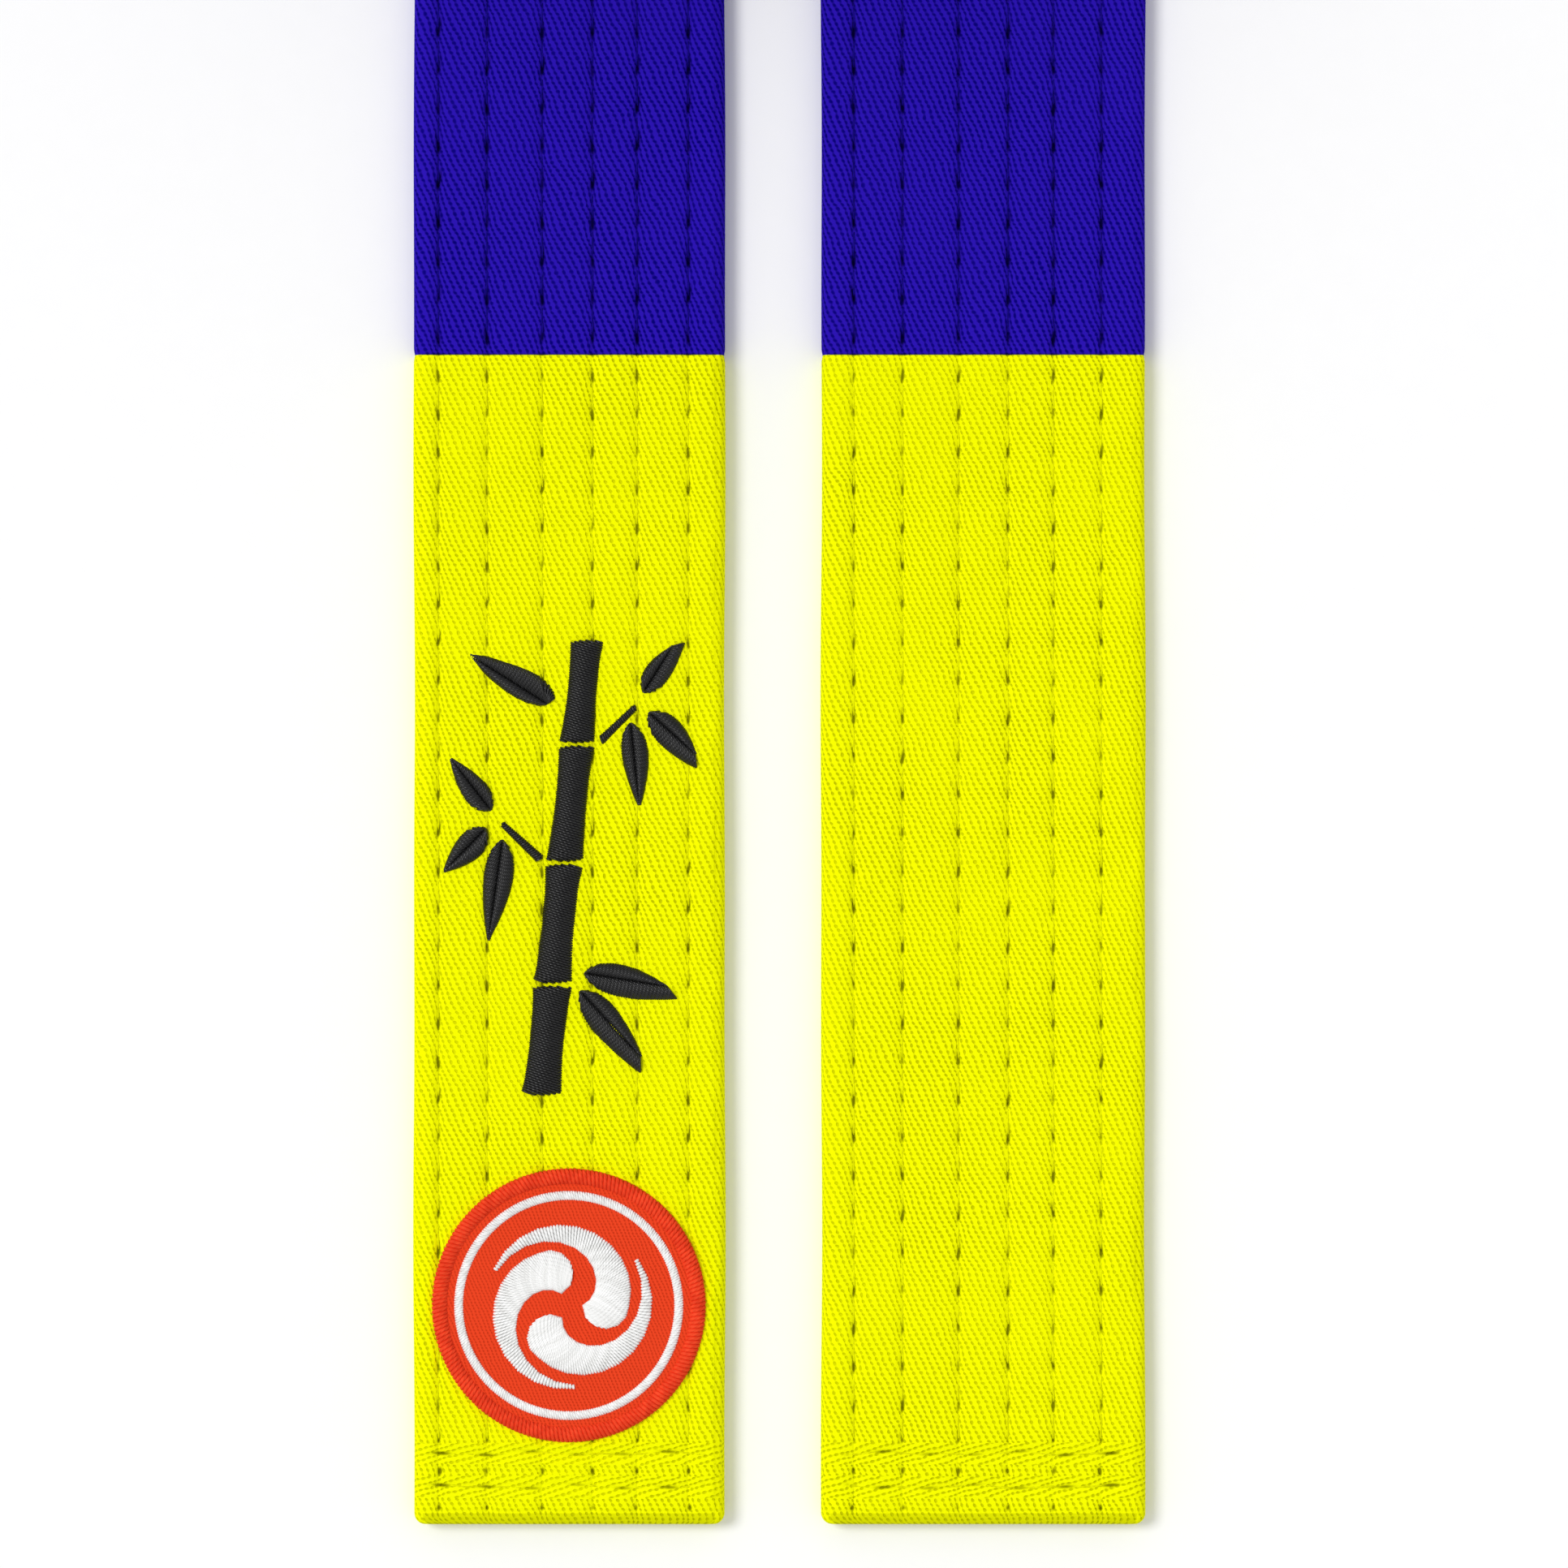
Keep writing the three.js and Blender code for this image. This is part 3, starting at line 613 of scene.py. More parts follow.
def thread_pair(name, along, across, level, lag, sideways, sides, material):
    """Upper thread of a row and its lower one, which never stands proud of the flat underside."""
    front = place(along, across, level)
    back = place(along - lag, across, -np.minimum(level, HALF_THICKNESS - THREAD_RADIUS))
    body = Body()
    add_tubes(body, np.stack([front, back]), np.array(sideways), THREAD_RADIUS, sides)
    return body.make(name, material)


def quilting_thread(name, row, first_hole, last_hole, hand, material, sides):
    """Upper and lower thread of a quilting row between two needle holes, counted from a seam."""
    places, heights = stitch_profile()
    holes = np.arange(first_hole, last_hole)
    along = (holes[:, None] + places).ravel()
    along = SEAM_AT + FIRST_HOLE + STITCH * np.append(along, last_hole)
    height = np.append(np.tile(heights, len(holes)), heights[0])
    along = np.sort(hand * along)
    across = row_places(along)[:, row] + 0.05 * np.sin(along * 1.9 + row)
    level = HALF_THICKNESS - 0.14 + height
    return thread_pair(name, along, across, level, BACK_LAG, [hand, 0.0, 0.0], sides, material)


def closing_thread(name, hand, from_tip, material):
    """Upper and lower thread of a row sewn across a tip."""
    steps = np.linspace(-16.2, 16.2, 61)
    phase = (steps + CLOSING_SHIFT) / CLOSING_STITCH
    number = np.round(phase)
    near_hole = np.abs(phase - number) * CLOSING_STITCH
    level = HALF_THICKNESS - 0.06 - 0.6 * np.exp(-((near_hole / 1.1) ** 4))
    wander = closing_wander(number, from_tip) * bell(near_hole, 2)
    along = hand * (TIP_AT - from_tip + wander)
    return thread_pair(name, along, steps, level, 0, [0.0, 1.0, 0.0], 6, material)


# ---- Satin embroidery ----------------------------------------------------------------------------

SATIN_SPACING = 0.3
SATIN_RADIUS = 0.17
SATIN_BASE = 2 * HALF_THICKNESS - 0.12
LEAF_SLANT = 42
STALK_SLANT = 78
TWIG_SLANT = 65


def outline_of(node):
    """The lower outline of a flat CAD piece: its edges, as pairs of x, y points."""
    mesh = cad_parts[node].data
    points = np.array([vertex.co for vertex in mesh.vertices]) / MM
    low = points[:, 2].min() + 0.01
    edges = {}
    for face in mesh.polygons:
        corners = [tuple(np.round(points[i], 3)) for i in face.vertices]
        if max(corner[2] for corner in corners) < low:
            for start, end in zip(corners, corners[1:] + corners[:1]):
                key = tuple(sorted((start, end)))
                edges[key] = edges.get(key, 0) + 1
    return np.array([edge for edge, uses in sorted(edges.items()) if uses == 1])[:, :, :2]


def reach(edges, start, direction):
    """Crossings of the outline with a ray, as sorted distances from its start."""
    normal = np.array([-direction[1], direction[0]])
    first = (edges[:, 0] - start) @ normal
    second = (edges[:, 1] - start) @ normal
    crossing = first * second < 0
    share = first[crossing] / (first[crossing] - second[crossing])
    points = edges[crossing, 0] + share[:, None] * (edges[crossing, 1] - edges[crossing, 0])
    return np.sort((points - start) @ direction)


def turned(direction, degrees):
    angle = math.radians(degrees)
    turn = np.array([[math.cos(angle), -math.sin(angle)], [math.sin(angle), math.cos(angle)]])
    return turn @ direction


def farthest_pair(edges):
    points = edges[:, 0]
    gaps = np.linalg.norm(points[:, None] - points[None], axis=-1)
    first, second = np.unravel_index(np.argmax(gaps), gaps.shape)
    return points[first], points[second]


def satin_paths(starts, ends, base, rise, power=0.5, steps=8):
    """Arched stitches from each start to its end."""
    share = (1 - np.cos(math.pi * np.arange(steps + 1) / steps)) / 2
    starts, ends = np.array(starts), np.array(ends)
    flat = starts[:, None] + (ends - starts)[:, None] * share[:, None]
    length = np.linalg.norm(ends - starts, axis=1)
    arch = np.minimum(rise, 0.18 + 0.3 * length)[:, None] * np.sin(math.pi * share) ** power
    return np.concatenate([flat, (base + arch)[:, :, None]], axis=-1)


def add_padding(body, paths, base):
    """A closed body that fills the space just under a column of stitches."""
    top = paths - [0, 0, 0.1]
    top[:, :, 2] = np.maximum(top[:, :, 2], base + 0.02)
    bottom = paths.copy()
    bottom[:, :, 2] = base
    onward = np.diff(paths[:, -1], axis=0)
    stitches = paths[:-1, -1] - paths[:-1, 0]
    ordered = np.cross(onward, stitches)[:, 2].sum() > 0
    body.add_slab(top, bottom, paths * [1, 1, 0], flipped=ordered)


def add_satin(body, starts, ends, base, rise, power=0.5):
    """A column of satin stitches over its padding."""
    paths = satin_paths(starts, ends, base, rise, power)
    jitter = random.uniform(-0.03, 0.03, (len(paths), 1, 1))
    add_padding(body, paths, base)
    direction = paths[:, -1] - paths[:, 0]
    sideways = np.stack([-direction[:, 1], direction[:, 0], 0 * direction[:, 0]], -1)
    sideways /= np.linalg.norm(sideways, axis=-1, keepdims=True)
    add_tubes(body, paths + jitter * [0, 0, 1], sideways[:, None], SATIN_RADIUS, 5)


def crossed_stitches(edges, slant):
    """Stitches right across a shape, for twigs and lengths of stalk."""
    foot, top = farthest_pair(edges)
    points = edges.reshape(-1, 2)
    middle = (points.min(0) + points.max(0)) / 2
    _, _, axes = np.linalg.svd(points - points.mean(0))
    axis = axes[0] * np.sign(axes[0] @ (top - foot))
    across = turned(axis, slant)
    starts, ends = [], []
    for step in np.arange(-12, 12, SATIN_SPACING):
        centre = middle + axis * step
        crossings = reach(edges, centre, across)
        if len(crossings) >= 2 and crossings[-1] - crossings[0] > 0.35:
            starts.append(centre + across * crossings[0])
            ends.append(centre + across * crossings[-1])
    return starts, ends


def leaf_stitches(edges, slant, side):
    """Stitches from a leaf's vein to one of its edges, leaning towards its point."""
    middle = edges.mean((0, 1))
    stem, point = sorted(farthest_pair(edges), key=lambda end: np.linalg.norm(end - middle))
    vein = point - stem
    length = np.linalg.norm(vein)
    axis = vein / length
    starts, ends = [], []
    for step in np.arange(-1.8, length - 0.15, SATIN_SPACING):
        centre = stem + axis * max(step, 0.17 + 0.04 * step)
        lean = turned(axis, side * (slant + max(0, -step) * 38))
        crossings = reach(edges, centre, lean)
        ahead = crossings[crossings > 0.1]
        if len(ahead):
            starts.append(centre)
            ends.append(centre + lean * ahead[0])
    return starts, ends


def bamboo_piece(node, material):
    edges = outline_of(node)
    body = Body()
    if "leaf" in node:
        columns = [leaf_stitches(edges, LEAF_SLANT, side) for side in (-1, 1)]
    else:
        columns = [crossed_stitches(edges, STALK_SLANT if "stalk" in node else TWIG_SLANT)]
    for starts, ends in columns:
        add_satin(body, starts, ends, SATIN_BASE, 1.0 if "stalk" in node else 0.7)
    return body.make("satin_" + node, material)


# ---- Round patch ---------------------------------------------------------------------------------

PATCH_MIDDLE = middle_of("patch_ground")
PATCH_RADIUS = box_mm("patch_border")[1][0] - PATCH_MIDDLE[0]
GROUND_RADIUS = box_mm("patch_ground")[1][0] - PATCH_MIDDLE[0]
RING_OUTSIDE = box_mm("patch_ring")[1][0] - PATCH_MIDDLE[0]
RING_WIDTH = 0.9
PATCH_BASE = 2 * HALF_THICKNESS + 0.06
GROUND_TOP = PATCH_BASE + 0.62
GROUND_LAP = 0.25  # how far the ground runs under the border
PATCH_SATIN_BASE = GROUND_TOP - 0.08
BORDER_WRAPS = 196
RING_STITCHES = 286
COMMA_TURNS = 3


def circle_points(radius, angle, height):
    radius, angle, height = np.broadcast_arrays(radius, angle, height)
    x = PATCH_MIDDLE[0] + radius * np.cos(angle)
    y = PATCH_MIDDLE[1] + radius * np.sin(angle)
    return np.stack([x, y, height], -1)


def patch_ground(material):
    """The ground fabric: a thin disc, a little swollen between its border and its stitching."""
    body = Body()
    turns = 2 * math.pi * np.arange(96) / 96
    radii = np.append(np.linspace(0.25, GROUND_RADIUS, 30), [GROUND_RADIUS + GROUND_LAP])
    swell = 0.05 * np.sin(math.pi * np.clip((radii - 14.1) / 1.2, 0, 1))
    settle = 0.03 * np.cos(turns[:, None] * 3 + radii / 3)
    top = circle_points(radii, turns[:, None], GROUND_TOP + swell + settle)
    bottom = circle_points(radii, turns[:, None], PATCH_BASE)
    points = np.concatenate([top, bottom[:, ::-1]], axis=1)
    numbers = closed(body.add_points(points), axis=0)
    data = closed(points, axis=0) * [1, 1, 0]
    body.add_grid(numbers, data)
    body.add_faces(numbers[:-1, 0][None], data[:-1, 0][None])
    body.add_faces(numbers[:-1, -1][::-1][None], data[:-1, -1][None])
    return body.make("patch_ground_cloth", material)


def patch_border(material):
    """A merrowed border: oblique wraps of thread over a cord round the rim."""
    body = Body()
    share = np.linspace(0, 1, 9)
    centre = PATCH_RADIUS - 0.95
    over = math.pi * (1.12 - 1.24 * share)
    radii = centre + 0.78 * np.cos(over)
    heights = PATCH_BASE + 0.28 + 0.62 * np.sin(over)
    turns = 2 * math.pi * np.arange(BORDER_WRAPS)[:, None] / BORDER_WRAPS + 0.05 * (share - 0.5)
    paths = circle_points(radii, turns, heights)
    outward = np.stack([-np.sin(turns), np.cos(turns), 0 * turns], -1)
    add_tubes(body, paths, -outward, 0.29, 6)

    around = 2 * math.pi * np.arange(120) / 120
    section = 2 * math.pi * np.arange(12) / 12
    cord_radii = centre + 0.72 * np.cos(section)
    cord_heights = PATCH_BASE + 0.3 + 0.5 * np.sin(section)
    cord_heights = np.maximum(cord_heights, PATCH_BASE)
    points = circle_points(cord_radii, around[:, None], cord_heights)
    numbers = closed(closed(body.add_points(points), axis=0))
    body.add_grid(numbers, closed(closed(points, axis=0)) * [1, 1, 0], inward=True)
    return body.make("patch_border_wraps", material)


def patch_ring(material):
    """A narrow column of satin stitches in a full circle."""
    body = Body()
    turns = 2 * math.pi * np.arange(RING_STITCHES) / RING_STITCHES
    inner = circle_points(RING_OUTSIDE - RING_WIDTH, turns - 0.012, 0)[:, :2]
    outer = circle_points(RING_OUTSIDE, turns + 0.012, 0)[:, :2]
    add_satin(body, closed(inner, axis=0), closed(outer, axis=0), PATCH_SATIN_BASE, 0.3)
    return body.make("satin_patch_ring", material)


def patch_comma(node, material):
    """One comma of the swirl, in stitches that point at the middle of the patch."""
    edges = outline_of(node)
    middle = PATCH_MIDDLE[:2]
    starts, ends = [], []
    head = (int(node[-1]) - 1) * 2 * math.pi / COMMA_TURNS
    for angle in np.arange(math.radians(-49), math.radians(167), math.radians(2.3)):
        direction = np.array([math.cos(head + angle), math.sin(head + angle)])
        crossings = reach(edges, middle, direction)
        ahead = crossings[crossings > 0.1]
        if len(ahead) >= 2 and ahead[1] - ahead[0] > 0.3:
            starts.append(middle + direction * ahead[0])
            ends.append(middle + direction * ahead[1])
    body = Body()
    add_satin(body, starts, ends, PATCH_SATIN_BASE, 0.36, power=0.35)
    return body.make("satin_" + node, material)


# ---- Materials -----------------------------------------------------------------------------------

def srgb(red, green, blue, alpha=1.0):
    def linear(value):
        value = value / 255
        return value / 12.92 if value <= 0.04045 else ((value + 0.055) / 1.055) ** 2.4
    return (linear(red), linear(green), linear(blue), alpha)


class Shader:
    """A material's node tree, with a Principled shader and short ways to add nodes to it."""

    def __init__(self, name, roughness, **constants):
        self.material = bpy.data.materials.new(name)
        self.material.use_nodes = True
        self.tree = self.material.node_tree
        self.principled = self.tree.nodes["Principled BSDF"]
        self.set("Roughness", roughness)
        for socket, value in constants.items():
            self.set(socket.replace("_", " "), value)

    def set(self, socket, value):
        self.principled.inputs[socket].default_value = value

    def connect(self, socket, value):
        self.tree.links.new(value, self.principled.inputs[socket])

    def node(self, kind, inputs, **settings):
        node = self.tree.nodes.new(kind)
        for name, value in settings.items():
            setattr(node, name, value)
        for socket, value in inputs.items():
            if isinstance(value, bpy.types.NodeSocket):
                self.tree.links.new(value, node.inputs[socket])
            else:
                node.inputs[socket].default_value = value
        return node

    def maths(self, operation, first, second=0.0, third=0.0):
        inputs = {0: first, 1: second, 2: third}
        return self.node("ShaderNodeMath", inputs, operation=operation).outputs[0]

    def scaled(self, value, factor, added=None):
        """value * factor, or value * factor + added."""
        if added is None:
            return self.maths("MULTIPLY", value, factor)
        return self.maths("MULTIPLY_ADD", value, factor, added)

    def wave(self, kind, value, period=1.0):
        return self.maths(kind, self.scaled(value, 2 * math.pi / period))

    def uv(self, layer):
        place = self.node("ShaderNodeUVMap", {}, uv_map=layer).outputs[0]
        parts = self.node("ShaderNodeSeparateXYZ", {0: place})
        return parts.outputs[0], parts.outputs[1], place

    def noise(self, vector, scale, detail=2.0):
        inputs = {"Vector": vector, "Scale": scale, "Detail": detail}
        return self.node("ShaderNodeTexNoise", inputs).outputs["Fac"]

    def smooth(self, value, start, end):
        inputs = {"Value": value, "From Min": start, "From Max": end}
        settings = {"interpolation_type": "SMOOTHSTEP"}
        return self.node("ShaderNodeMapRange", inputs, **settings).outputs["Result"]

    def mix(self, factor, first, second):
        inputs = {0: factor, 6: first, 7: second}
        return self.node("ShaderNodeMix", inputs, data_type="RGBA").outputs[2]

    def bump(self, height, distance, strength=1.0):
        inputs = {"Height": height, "Distance": distance, "Strength": strength}
        self.connect("Normal", self.node("ShaderNodeBump", inputs).outputs[0])


def dashes(shader, lines, steps):
    """Peaks of a slanted grid: rows of short dashes along parallel lines."""
    across = shader.wave("COSINE", lines)
    along = shader.wave("COSINE", steps)
    return shader.scaled(along, 0.28, shader.scaled(across, 0.72))


def twill_pattern(shader, scale=1.0):
    """Twill lines that run down to the right as seen from the front, with uneven yarns."""
    u, v, place = shader.uv("weave")
    wobble = shader.maths("SUBTRACT", shader.noise(place, 210 / scale), 0.5)
    fine = shader.maths("SUBTRACT", shader.noise(place, 1100 / scale), 0.5)
    slanted = shader.scaled(v, TWILL_SLANT, u)
    lines = shader.scaled(slanted, 1 / (TWILL_ACROSS * scale * MM))
    lines = shader.scaled(wobble, 1.1, lines)
    lines = shader.scaled(fine, 0.5, lines)
    steps = shader.scaled(v, 1 / (TWILL_ALONG * scale * MM))
    steps = shader.scaled(wobble, 1.0, steps)
    steps = shader.scaled(fine, 0.7, steps)
    return dashes(shader, lines, steps), u, v, place


def gathered_pattern(shader, u, v, place):
    """The weave beside the closing rows, dragged round until its lines run almost across."""
    fine = shader.maths("SUBTRACT", shader.noise(place, 700), 0.5)
    rise = math.radians(17)
    spacing = 0.7 * MM
    first = shader.scaled(u, -math.sin(rise) / spacing)
    lines = shader.scaled(v, math.cos(rise) / spacing, first)
    lines = shader.scaled(fine, 0.7, lines)
    second = shader.scaled(u, math.cos(rise) / spacing)
    steps = shader.scaled(v, math.sin(rise) / spacing, second)
    return dashes(shader, lines, steps)


def near_closing_rows(shader, v):
    """1 beside the two rows sewn across a tip, else 0."""
    from_tip = shader.maths("SUBTRACT", TIP_AT * MM, shader.maths("ABSOLUTE", v))
    nearest = None
    for row_from_tip in CLOSING_ROWS.values():
        away = shader.maths("ABSOLUTE", shader.maths("SUBTRACT", from_tip, row_from_tip * MM))
        nearest = away if nearest is None else shader.maths("MINIMUM", nearest, away)
    return shader.smooth(nearest, 1.5 * MM, 1.25 * MM)


def twill_material(
    name, bright, dark, shade_colour, gaps=(0.18, 0.98), weakest=0.5, drawn=0.12, gathered=False, scale=1.0,
    **constants
):
    """Cotton twill: painted shade in the gaps between the yarns, stronger in some patches than in
    others, and painted shade in the sewing, on the rounded tips and along the colour seam.
    """
    shader = Shader(name, 0.82, **constants)
    pattern, u, v, place = twill_pattern(shader, scale)
    if gathered:
        beside = near_closing_rows(shader, v)
        other = gathered_pattern(shader, u, v, place)
        change = shader.maths("SUBTRACT", other, pattern)
        pattern = shader.scaled(change, beside, pattern)
    gap = shader.smooth(pattern, *gaps)
    patches = shader.smooth(shader.noise(place, 60, 3.0), 0.3, 0.7)
    strength = shader.scaled(patches, 0.95 - weakest, weakest)
    # Painted shade in the gaps between the yarns, its strength uneven in patches.
    colour = shader.mix(shader.scaled(gap, strength), bright, dark)
    # Painted shade where the corners ask for it: the sewing's grooves and holes, the rounded tips and
    # the colour seam.
    depth, _, _ = shader.uv("painted_shade")
    shade = shader.scaled(shader.smooth(depth, drawn, 0.38), 0.92)
    shader.connect("Base Color", shader.mix(shade, colour, shade_colour))
    height = shader.scaled(gap, -1.0)
    fuzz = shader.noise(place, 5200, 1.0)
    height = shader.scaled(fuzz, 0.35, height)
    shader.bump(height, 0.16 * MM * scale, 0.8)
    rough = shader.scaled(gap, 0.1, 0.78)
    shader.connect("Roughness", rough)
    return shader.material


def thread_material(name, light, dark, roughness, twist=0.55, **constants):
    """Plied thread: fine slanted turns along each stitch."""
    shader = Shader(name, roughness, **constants)
    u, v, place = shader.uv("weave")
    turns = shader.scaled(u, 1.3, v)
    wave = shader.wave("SINE", turns, twist * MM)
    streaks = shader.noise(place, 900)
    colour = shader.mix(shader.smooth(streaks, 0.3, 0.7), dark, light)
    shader.connect("Base Color", colour)
    shader.bump(wave, 0.03 * MM, 0.7)
    return shader.material


def canvas_material(name):
    """Plain-woven canvas of the core."""
    shader = Shader(name, 0.9, Specular_IOR_Level=0.2)
    u, v, place = shader.uv("weave")
    warp = shader.wave("SINE", u, CANVAS_YARN * MM)
    weft = shader.wave("SINE", v, CANVAS_YARN * MM)
    weave = shader.scaled(warp, weft)
    tone = shader.smooth(shader.maths("ADD", weave, shader.noise(place, 400)), -0.8, 1.4)
    colour = shader.mix(tone, srgb(196, 188, 166), srgb(234, 229, 212))
    shader.connect("Base Color", colour)
    shader.bump(weave, 0.1 * MM, 0.7)
    return shader.material


def floor_material():
    shader = Shader("pale_floor", 0.9, Specular_IOR_Level=0.1)
    place = shader.node("ShaderNodeTexCoord", {}).outputs["Object"]
    grain = shader.noise(place, 300)
    shader.connect("Base Color", shader.mix(grain, srgb(249, 249, 249), srgb(251, 251, 251)))
    return shader.material


SOFT = {"Specular_IOR_Level": 0.01}
# Each twill: its cloth colour, the painted shade between its yarns, and the painted shade in its sewing.
blue_twill = twill_material(
    "blue_twill", srgb(43, 20, 174), srgb(0, 0, 112), srgb(0, 0, 40),
    gaps=(-0.15, 0.9), weakest=0.8, drawn=0.02, **SOFT
)
yellow_twill = twill_material(
    "yellow_twill", srgb(244, 249, 1), srgb(190, 193, 0), srgb(116, 116, 0), gathered=True, **SOFT
)
red_twill = twill_material(
    "patch_twill", srgb(233, 68, 34), srgb(205, 52, 22), srgb(150, 36, 14), scale=0.62, **SOFT
)
# The row threads are coloured darker than the cloth they sew: painted shade, as they lie down in its
# grooves and needle holes. Their light and dark are streaks along the thread.
blue_thread = thread_material(
    "blue_thread", srgb(24, 10, 134), srgb(12, 3, 104), 0.7, Specular_IOR_Level=0.03
)
yellow_thread = thread_material(
    "yellow_thread", srgb(238, 242, 2), srgb(212, 214, 0), 0.7, Specular_IOR_Level=0.03
)
red_thread = thread_material(
    "patch_border_thread", srgb(246, 74, 38), srgb(228, 60, 28), 0.6, Specular_IOR_Level=0.1
)
white_thread = thread_material(
    "white_satin_thread", srgb(253, 253, 252), srgb(236, 236, 234), 0.45, Specular_IOR_Level=0.3
)
black_thread = thread_material(
    "black_satin_thread", srgb(24, 24, 25), srgb(12, 12, 13), 0.38,
    Specular_IOR_Level=0.45, Anisotropic=0.4,
)
core_canvas = canvas_material("core_canvas")


# ---- The belt's pieces ---------------------------------------------------------------------------

def on_leg(places, hand):
    """Places on leg B, or the same ones on leg A, in rising order."""
    return places if hand > 0 else -places[::-1]


def straight(places):
    return np.zeros_like(places)


def finish_piece(piece, body, slot, *nodes):
    """Parents a piece to the belt's body when that is its body; any other piece keeps its place in the
    world with no parent. Hides the CAD parts it stands for.
    """
    if body == "belt_body":
        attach(piece, body)
    else:
        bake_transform(piece)
    if nodes:
        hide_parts(*nodes)


def middle_stations():
    """Cuts across the middle of the belt, turned to follow its two diagonal folds."""
    fold = math.sqrt(2) * FOLD_HALF_ARC
    knots = [0, LEG_OFFSET - fold, LEG_OFFSET + fold, MIDDLE_END_AT]
    slants = [0, 1, 1, 0]
    places = np.linspace(-MIDDLE_END_AT, MIDDLE_END_AT, 181)
    return places, np.sign(places) * np.interp(np.abs(places), knots, slants)


def build_middle():
    places, slants = middle_stations()
    cover = sleeve("blue_cover_middle", places, slants, 7, blue_twill)
    finish_piece(cover, "belt_body", "blue_twill", "cover_middle")


def build_roll(letter, hand):
    outer_turn = LEAD_AT - 2 * RUN_LENGTH - math.pi * sum(BEND_RADII[-2:])
    inner = stations(MIDDLE_END_AT, outer_turn, 2.6)
    outer = stations(outer_turn, LEAD_AT, 0.95)
    places = on_leg(np.concatenate([inner, outer[1:]]), hand)
    cover = sleeve(f"blue_cover_roll_{letter}", places, straight(places), 7, blue_twill)
    finish_piece(cover, "belt_body", "blue_twill", f"cover_roll_{letter}")


def build_lead(letter, hand):
    near_seam = SEAM_AT + np.array([-0.3, -0.12, 0])
    places = on_leg(np.append(np.arange(LEAD_AT, SEAM_AT - 0.3, 0.4), near_seam), hand)
    cover = sleeve(f"blue_cover_lead_{letter}", places, straight(places), 14, blue_twill)
    finish_piece(cover, f"end_{letter}", "blue_twill", f"cover_lead_{letter}")


def build_tip(letter, hand):
    near_seam = SEAM_AT + np.array([0, 0.12])
    near_tip = TIP_AT - np.array([1.9, 1.7, 1.5, 1.3, 1.1, 0.75, 0.45, 0.22, 0.08, 0])
    plain = np.arange(SEAM_AT + 0.3, TIP_AT - 2.1, 0.42)
    offsets = np.arange(-0.66, 0.67, 0.12)
    at_rows = np.concatenate([TIP_AT - row + offsets for row in CLOSING_ROWS.values()])
    at_marks = np.concatenate([TIP_AT - mark + offsets[::2] for mark in MARKS_FROM_TIP])
    places = np.sort(np.concatenate([near_seam, plain, at_rows, at_marks, near_tip]))
    places = on_leg(places[np.append(np.diff(places) > 0.04, True)], hand)
    ends = {"closed_start": hand < 0, "closed_end": hand > 0}
    name = f"yellow_cover_end_{letter}"
    cover = sleeve(name, places, straight(places), 14, yellow_twill, **ends)
    finish_piece(cover, f"end_{letter}", "yellow_twill", f"cover_end_{letter}")


def build_core():
    middle, middle_slants = middle_stations()
    leg = stations(MIDDLE_END_AT, LEAD_AT, 4.0)[1:]
    leg_slants = straight(leg)
    places = np.concatenate([-leg[::-1], middle, leg])
    slants = np.concatenate([leg_slants, middle_slants, leg_slants])
    ends = np.append(np.arange(LEAD_AT, TIP_AT - TIP_HEM - 0.4, 2.0), TIP_AT - TIP_HEM - 0.3)
    for level, name in enumerate(PLIES):
        rolled = ply(f"canvas_{name}_ply", places, slants, level, core_canvas)
        finish_piece(rolled, "belt_body", "core_canvas", f"core_{name}_ply")
        for letter, hand in LEGS:
            legs = on_leg(ends, hand)
            flat = ply(f"canvas_{name}_ply_{letter}", legs, straight(legs), level, core_canvas)
            finish_piece(flat, f"end_{letter}", "core_canvas", f"core_{name}_ply_end_{letter}")


def build_quilting():
    lead_hole = math.ceil((LEAD_AT - SEAM_AT - FIRST_HOLE) / STITCH)
    first_hole = math.ceil((MIDDLE_END_AT + 8 - SEAM_AT - FIRST_HOLE) / STITCH)
    last_hole = math.floor((TIP_AT - LAST_HOLE_FROM_TIP - SEAM_AT - FIRST_HOLE) / STITCH)
    for row, number in enumerate(ROW_NUMBERS):
        for letter, hand in LEGS:
            end = f"end_{letter}"
            whole = [f"quilt_thread_{number}"] if hand < 0 else []
            tip = [f"quilt_thread_{number}_{end}"]
            for part, first, last, body, slot, material, sides, nodes in (
                ("roll", first_hole, lead_hole, "belt_body", "blue_thread", blue_thread, 4, whole),
                ("lead", lead_hole, -1, end, "blue_thread", blue_thread, 6, []),
                ("end", 0, last_hole, end, "yellow_thread", yellow_thread, 6, tip),
            ):
                name = f"quilting_{number}_{part}_{letter}"
                thread = quilting_thread(name, row, first, last, hand, material, sides)
                finish_piece(thread, body, slot, *nodes)


def build_closing_rows():
    for letter, hand in LEGS:
        for name, from_tip in CLOSING_ROWS.items():
            thread = closing_thread(f"closing_{name}_{letter}", hand, from_tip, yellow_thread)
            node = f"closing_stitch_{name}_end_{letter}"
            finish_piece(thread, f"end_{letter}", "yellow_thread", node)


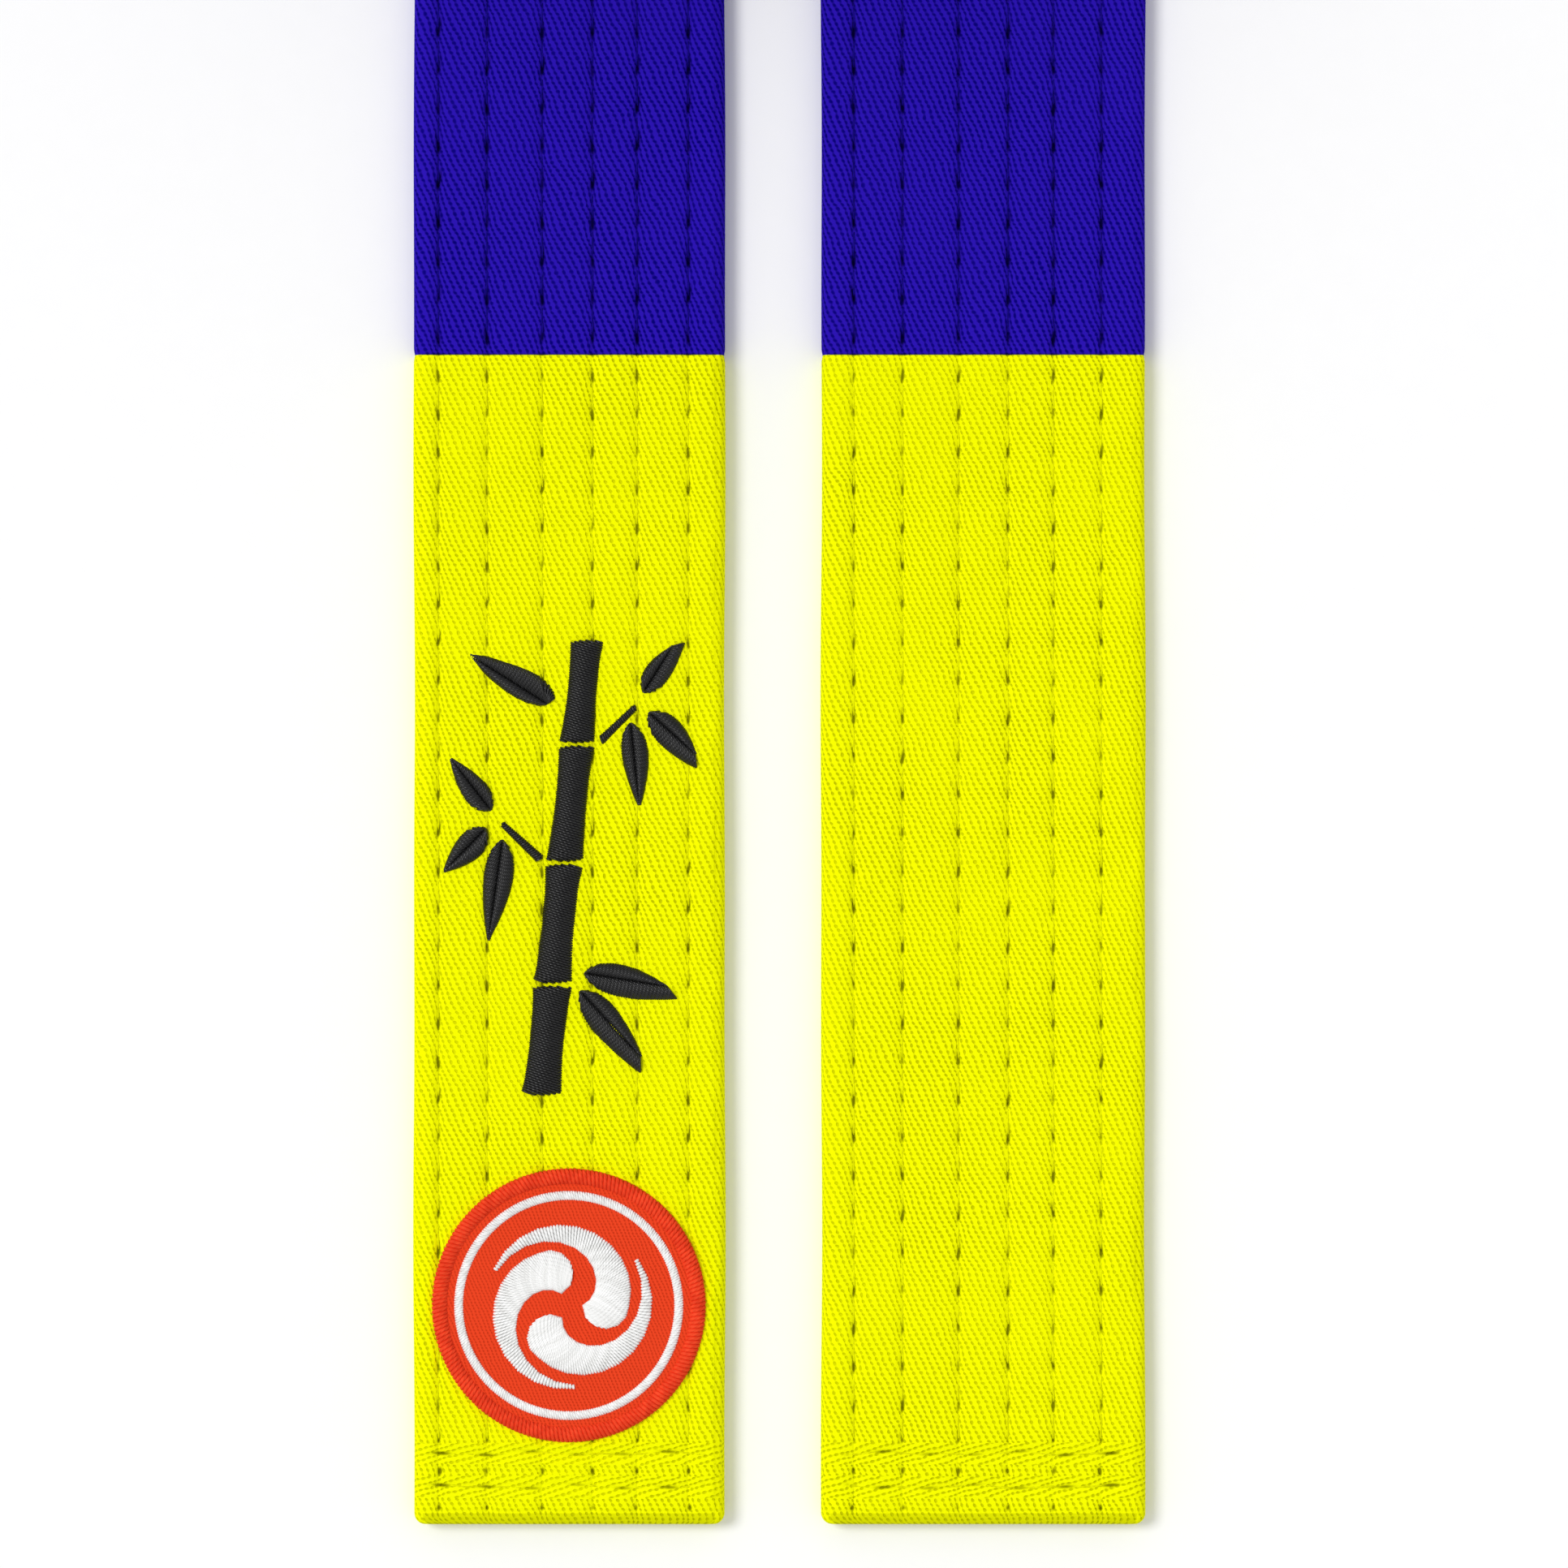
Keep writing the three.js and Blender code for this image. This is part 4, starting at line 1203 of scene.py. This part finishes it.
def build_decoration():
    """The embroidery and the patch ride on end A, clear of the bend."""
    def decorate(piece, node):
        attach(piece, "end_a")
        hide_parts(node)

    for node in sorted(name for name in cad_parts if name.startswith("bamboo_")):
        decorate(bamboo_piece(node, black_thread), node)
    ground = patch_ground(red_twill)
    decorate(ground, "patch_ground")
    decorate(patch_border(red_thread), "patch_border")
    decorate(patch_ring(white_thread), "patch_ring")
    for number in range(1, COMMA_TURNS + 1):
        node = f"patch_comma_{number}"
        decorate(patch_comma(node, white_thread), node)


# ---- Studio --------------------------------------------------------------------------------------

FLOOR_HALF = 3000
VIEW_WIDTH = 193.2  # millimetres of floor that the picture shows
VIEW_MIDDLE = (0.95, TIP_Y + 91.4)
LENS = 135
SENSOR = 36


def build_camera():
    """Looks straight down on the two ends."""
    camera = bpy.data.cameras.new("camera")
    camera.lens = LENS
    camera.sensor_width = SENSOR
    camera.clip_start = 0.01
    camera.clip_end = 20
    holder = bpy.data.objects.new("camera", camera)
    height = VIEW_WIDTH / SENSOR * LENS + 2 * HALF_THICKNESS
    holder.location = (VIEW_MIDDLE[0] * MM, VIEW_MIDDLE[1] * MM, height * MM)
    bpy.context.scene.collection.objects.link(holder)
    bpy.context.scene.camera = holder


def build_light(name, energy, direction, softness):
    lamp = bpy.data.lights.new(name, "SUN")
    lamp.energy = energy
    lamp.angle = math.radians(softness)
    holder = bpy.data.objects.new(name, lamp)
    holder.rotation_euler = tuple(math.radians(turn) for turn in direction)
    bpy.context.scene.collection.objects.link(holder)


def build_studio():
    build_light("key_from_upper_left", 1.5, (33, 0, -115), 22)
    world = bpy.data.worlds.new("soft_studio")
    world.use_nodes = True
    world.node_tree.nodes["Background"].inputs["Color"].default_value = (1, 1, 1, 1)
    world.node_tree.nodes["Background"].inputs["Strength"].default_value = 0.66
    bpy.context.scene.world = world
    bpy.context.scene.view_settings.view_transform = "Standard"

    body = Body()
    side = np.linspace(-FLOOR_HALF, FLOOR_HALF, 13)
    x, y = np.meshgrid(side, side)
    points = np.stack([x, y, 0 * x], -1)
    body.add_grid(body.add_points(points), points)
    floor = body.make("floor", floor_material())


build_camera()
build_studio()
build_middle()
for letter, hand in LEGS:
    build_roll(letter, hand)
    build_lead(letter, hand)
    build_tip(letter, hand)
build_core()
build_quilting()
build_closing_rows()
build_decoration()
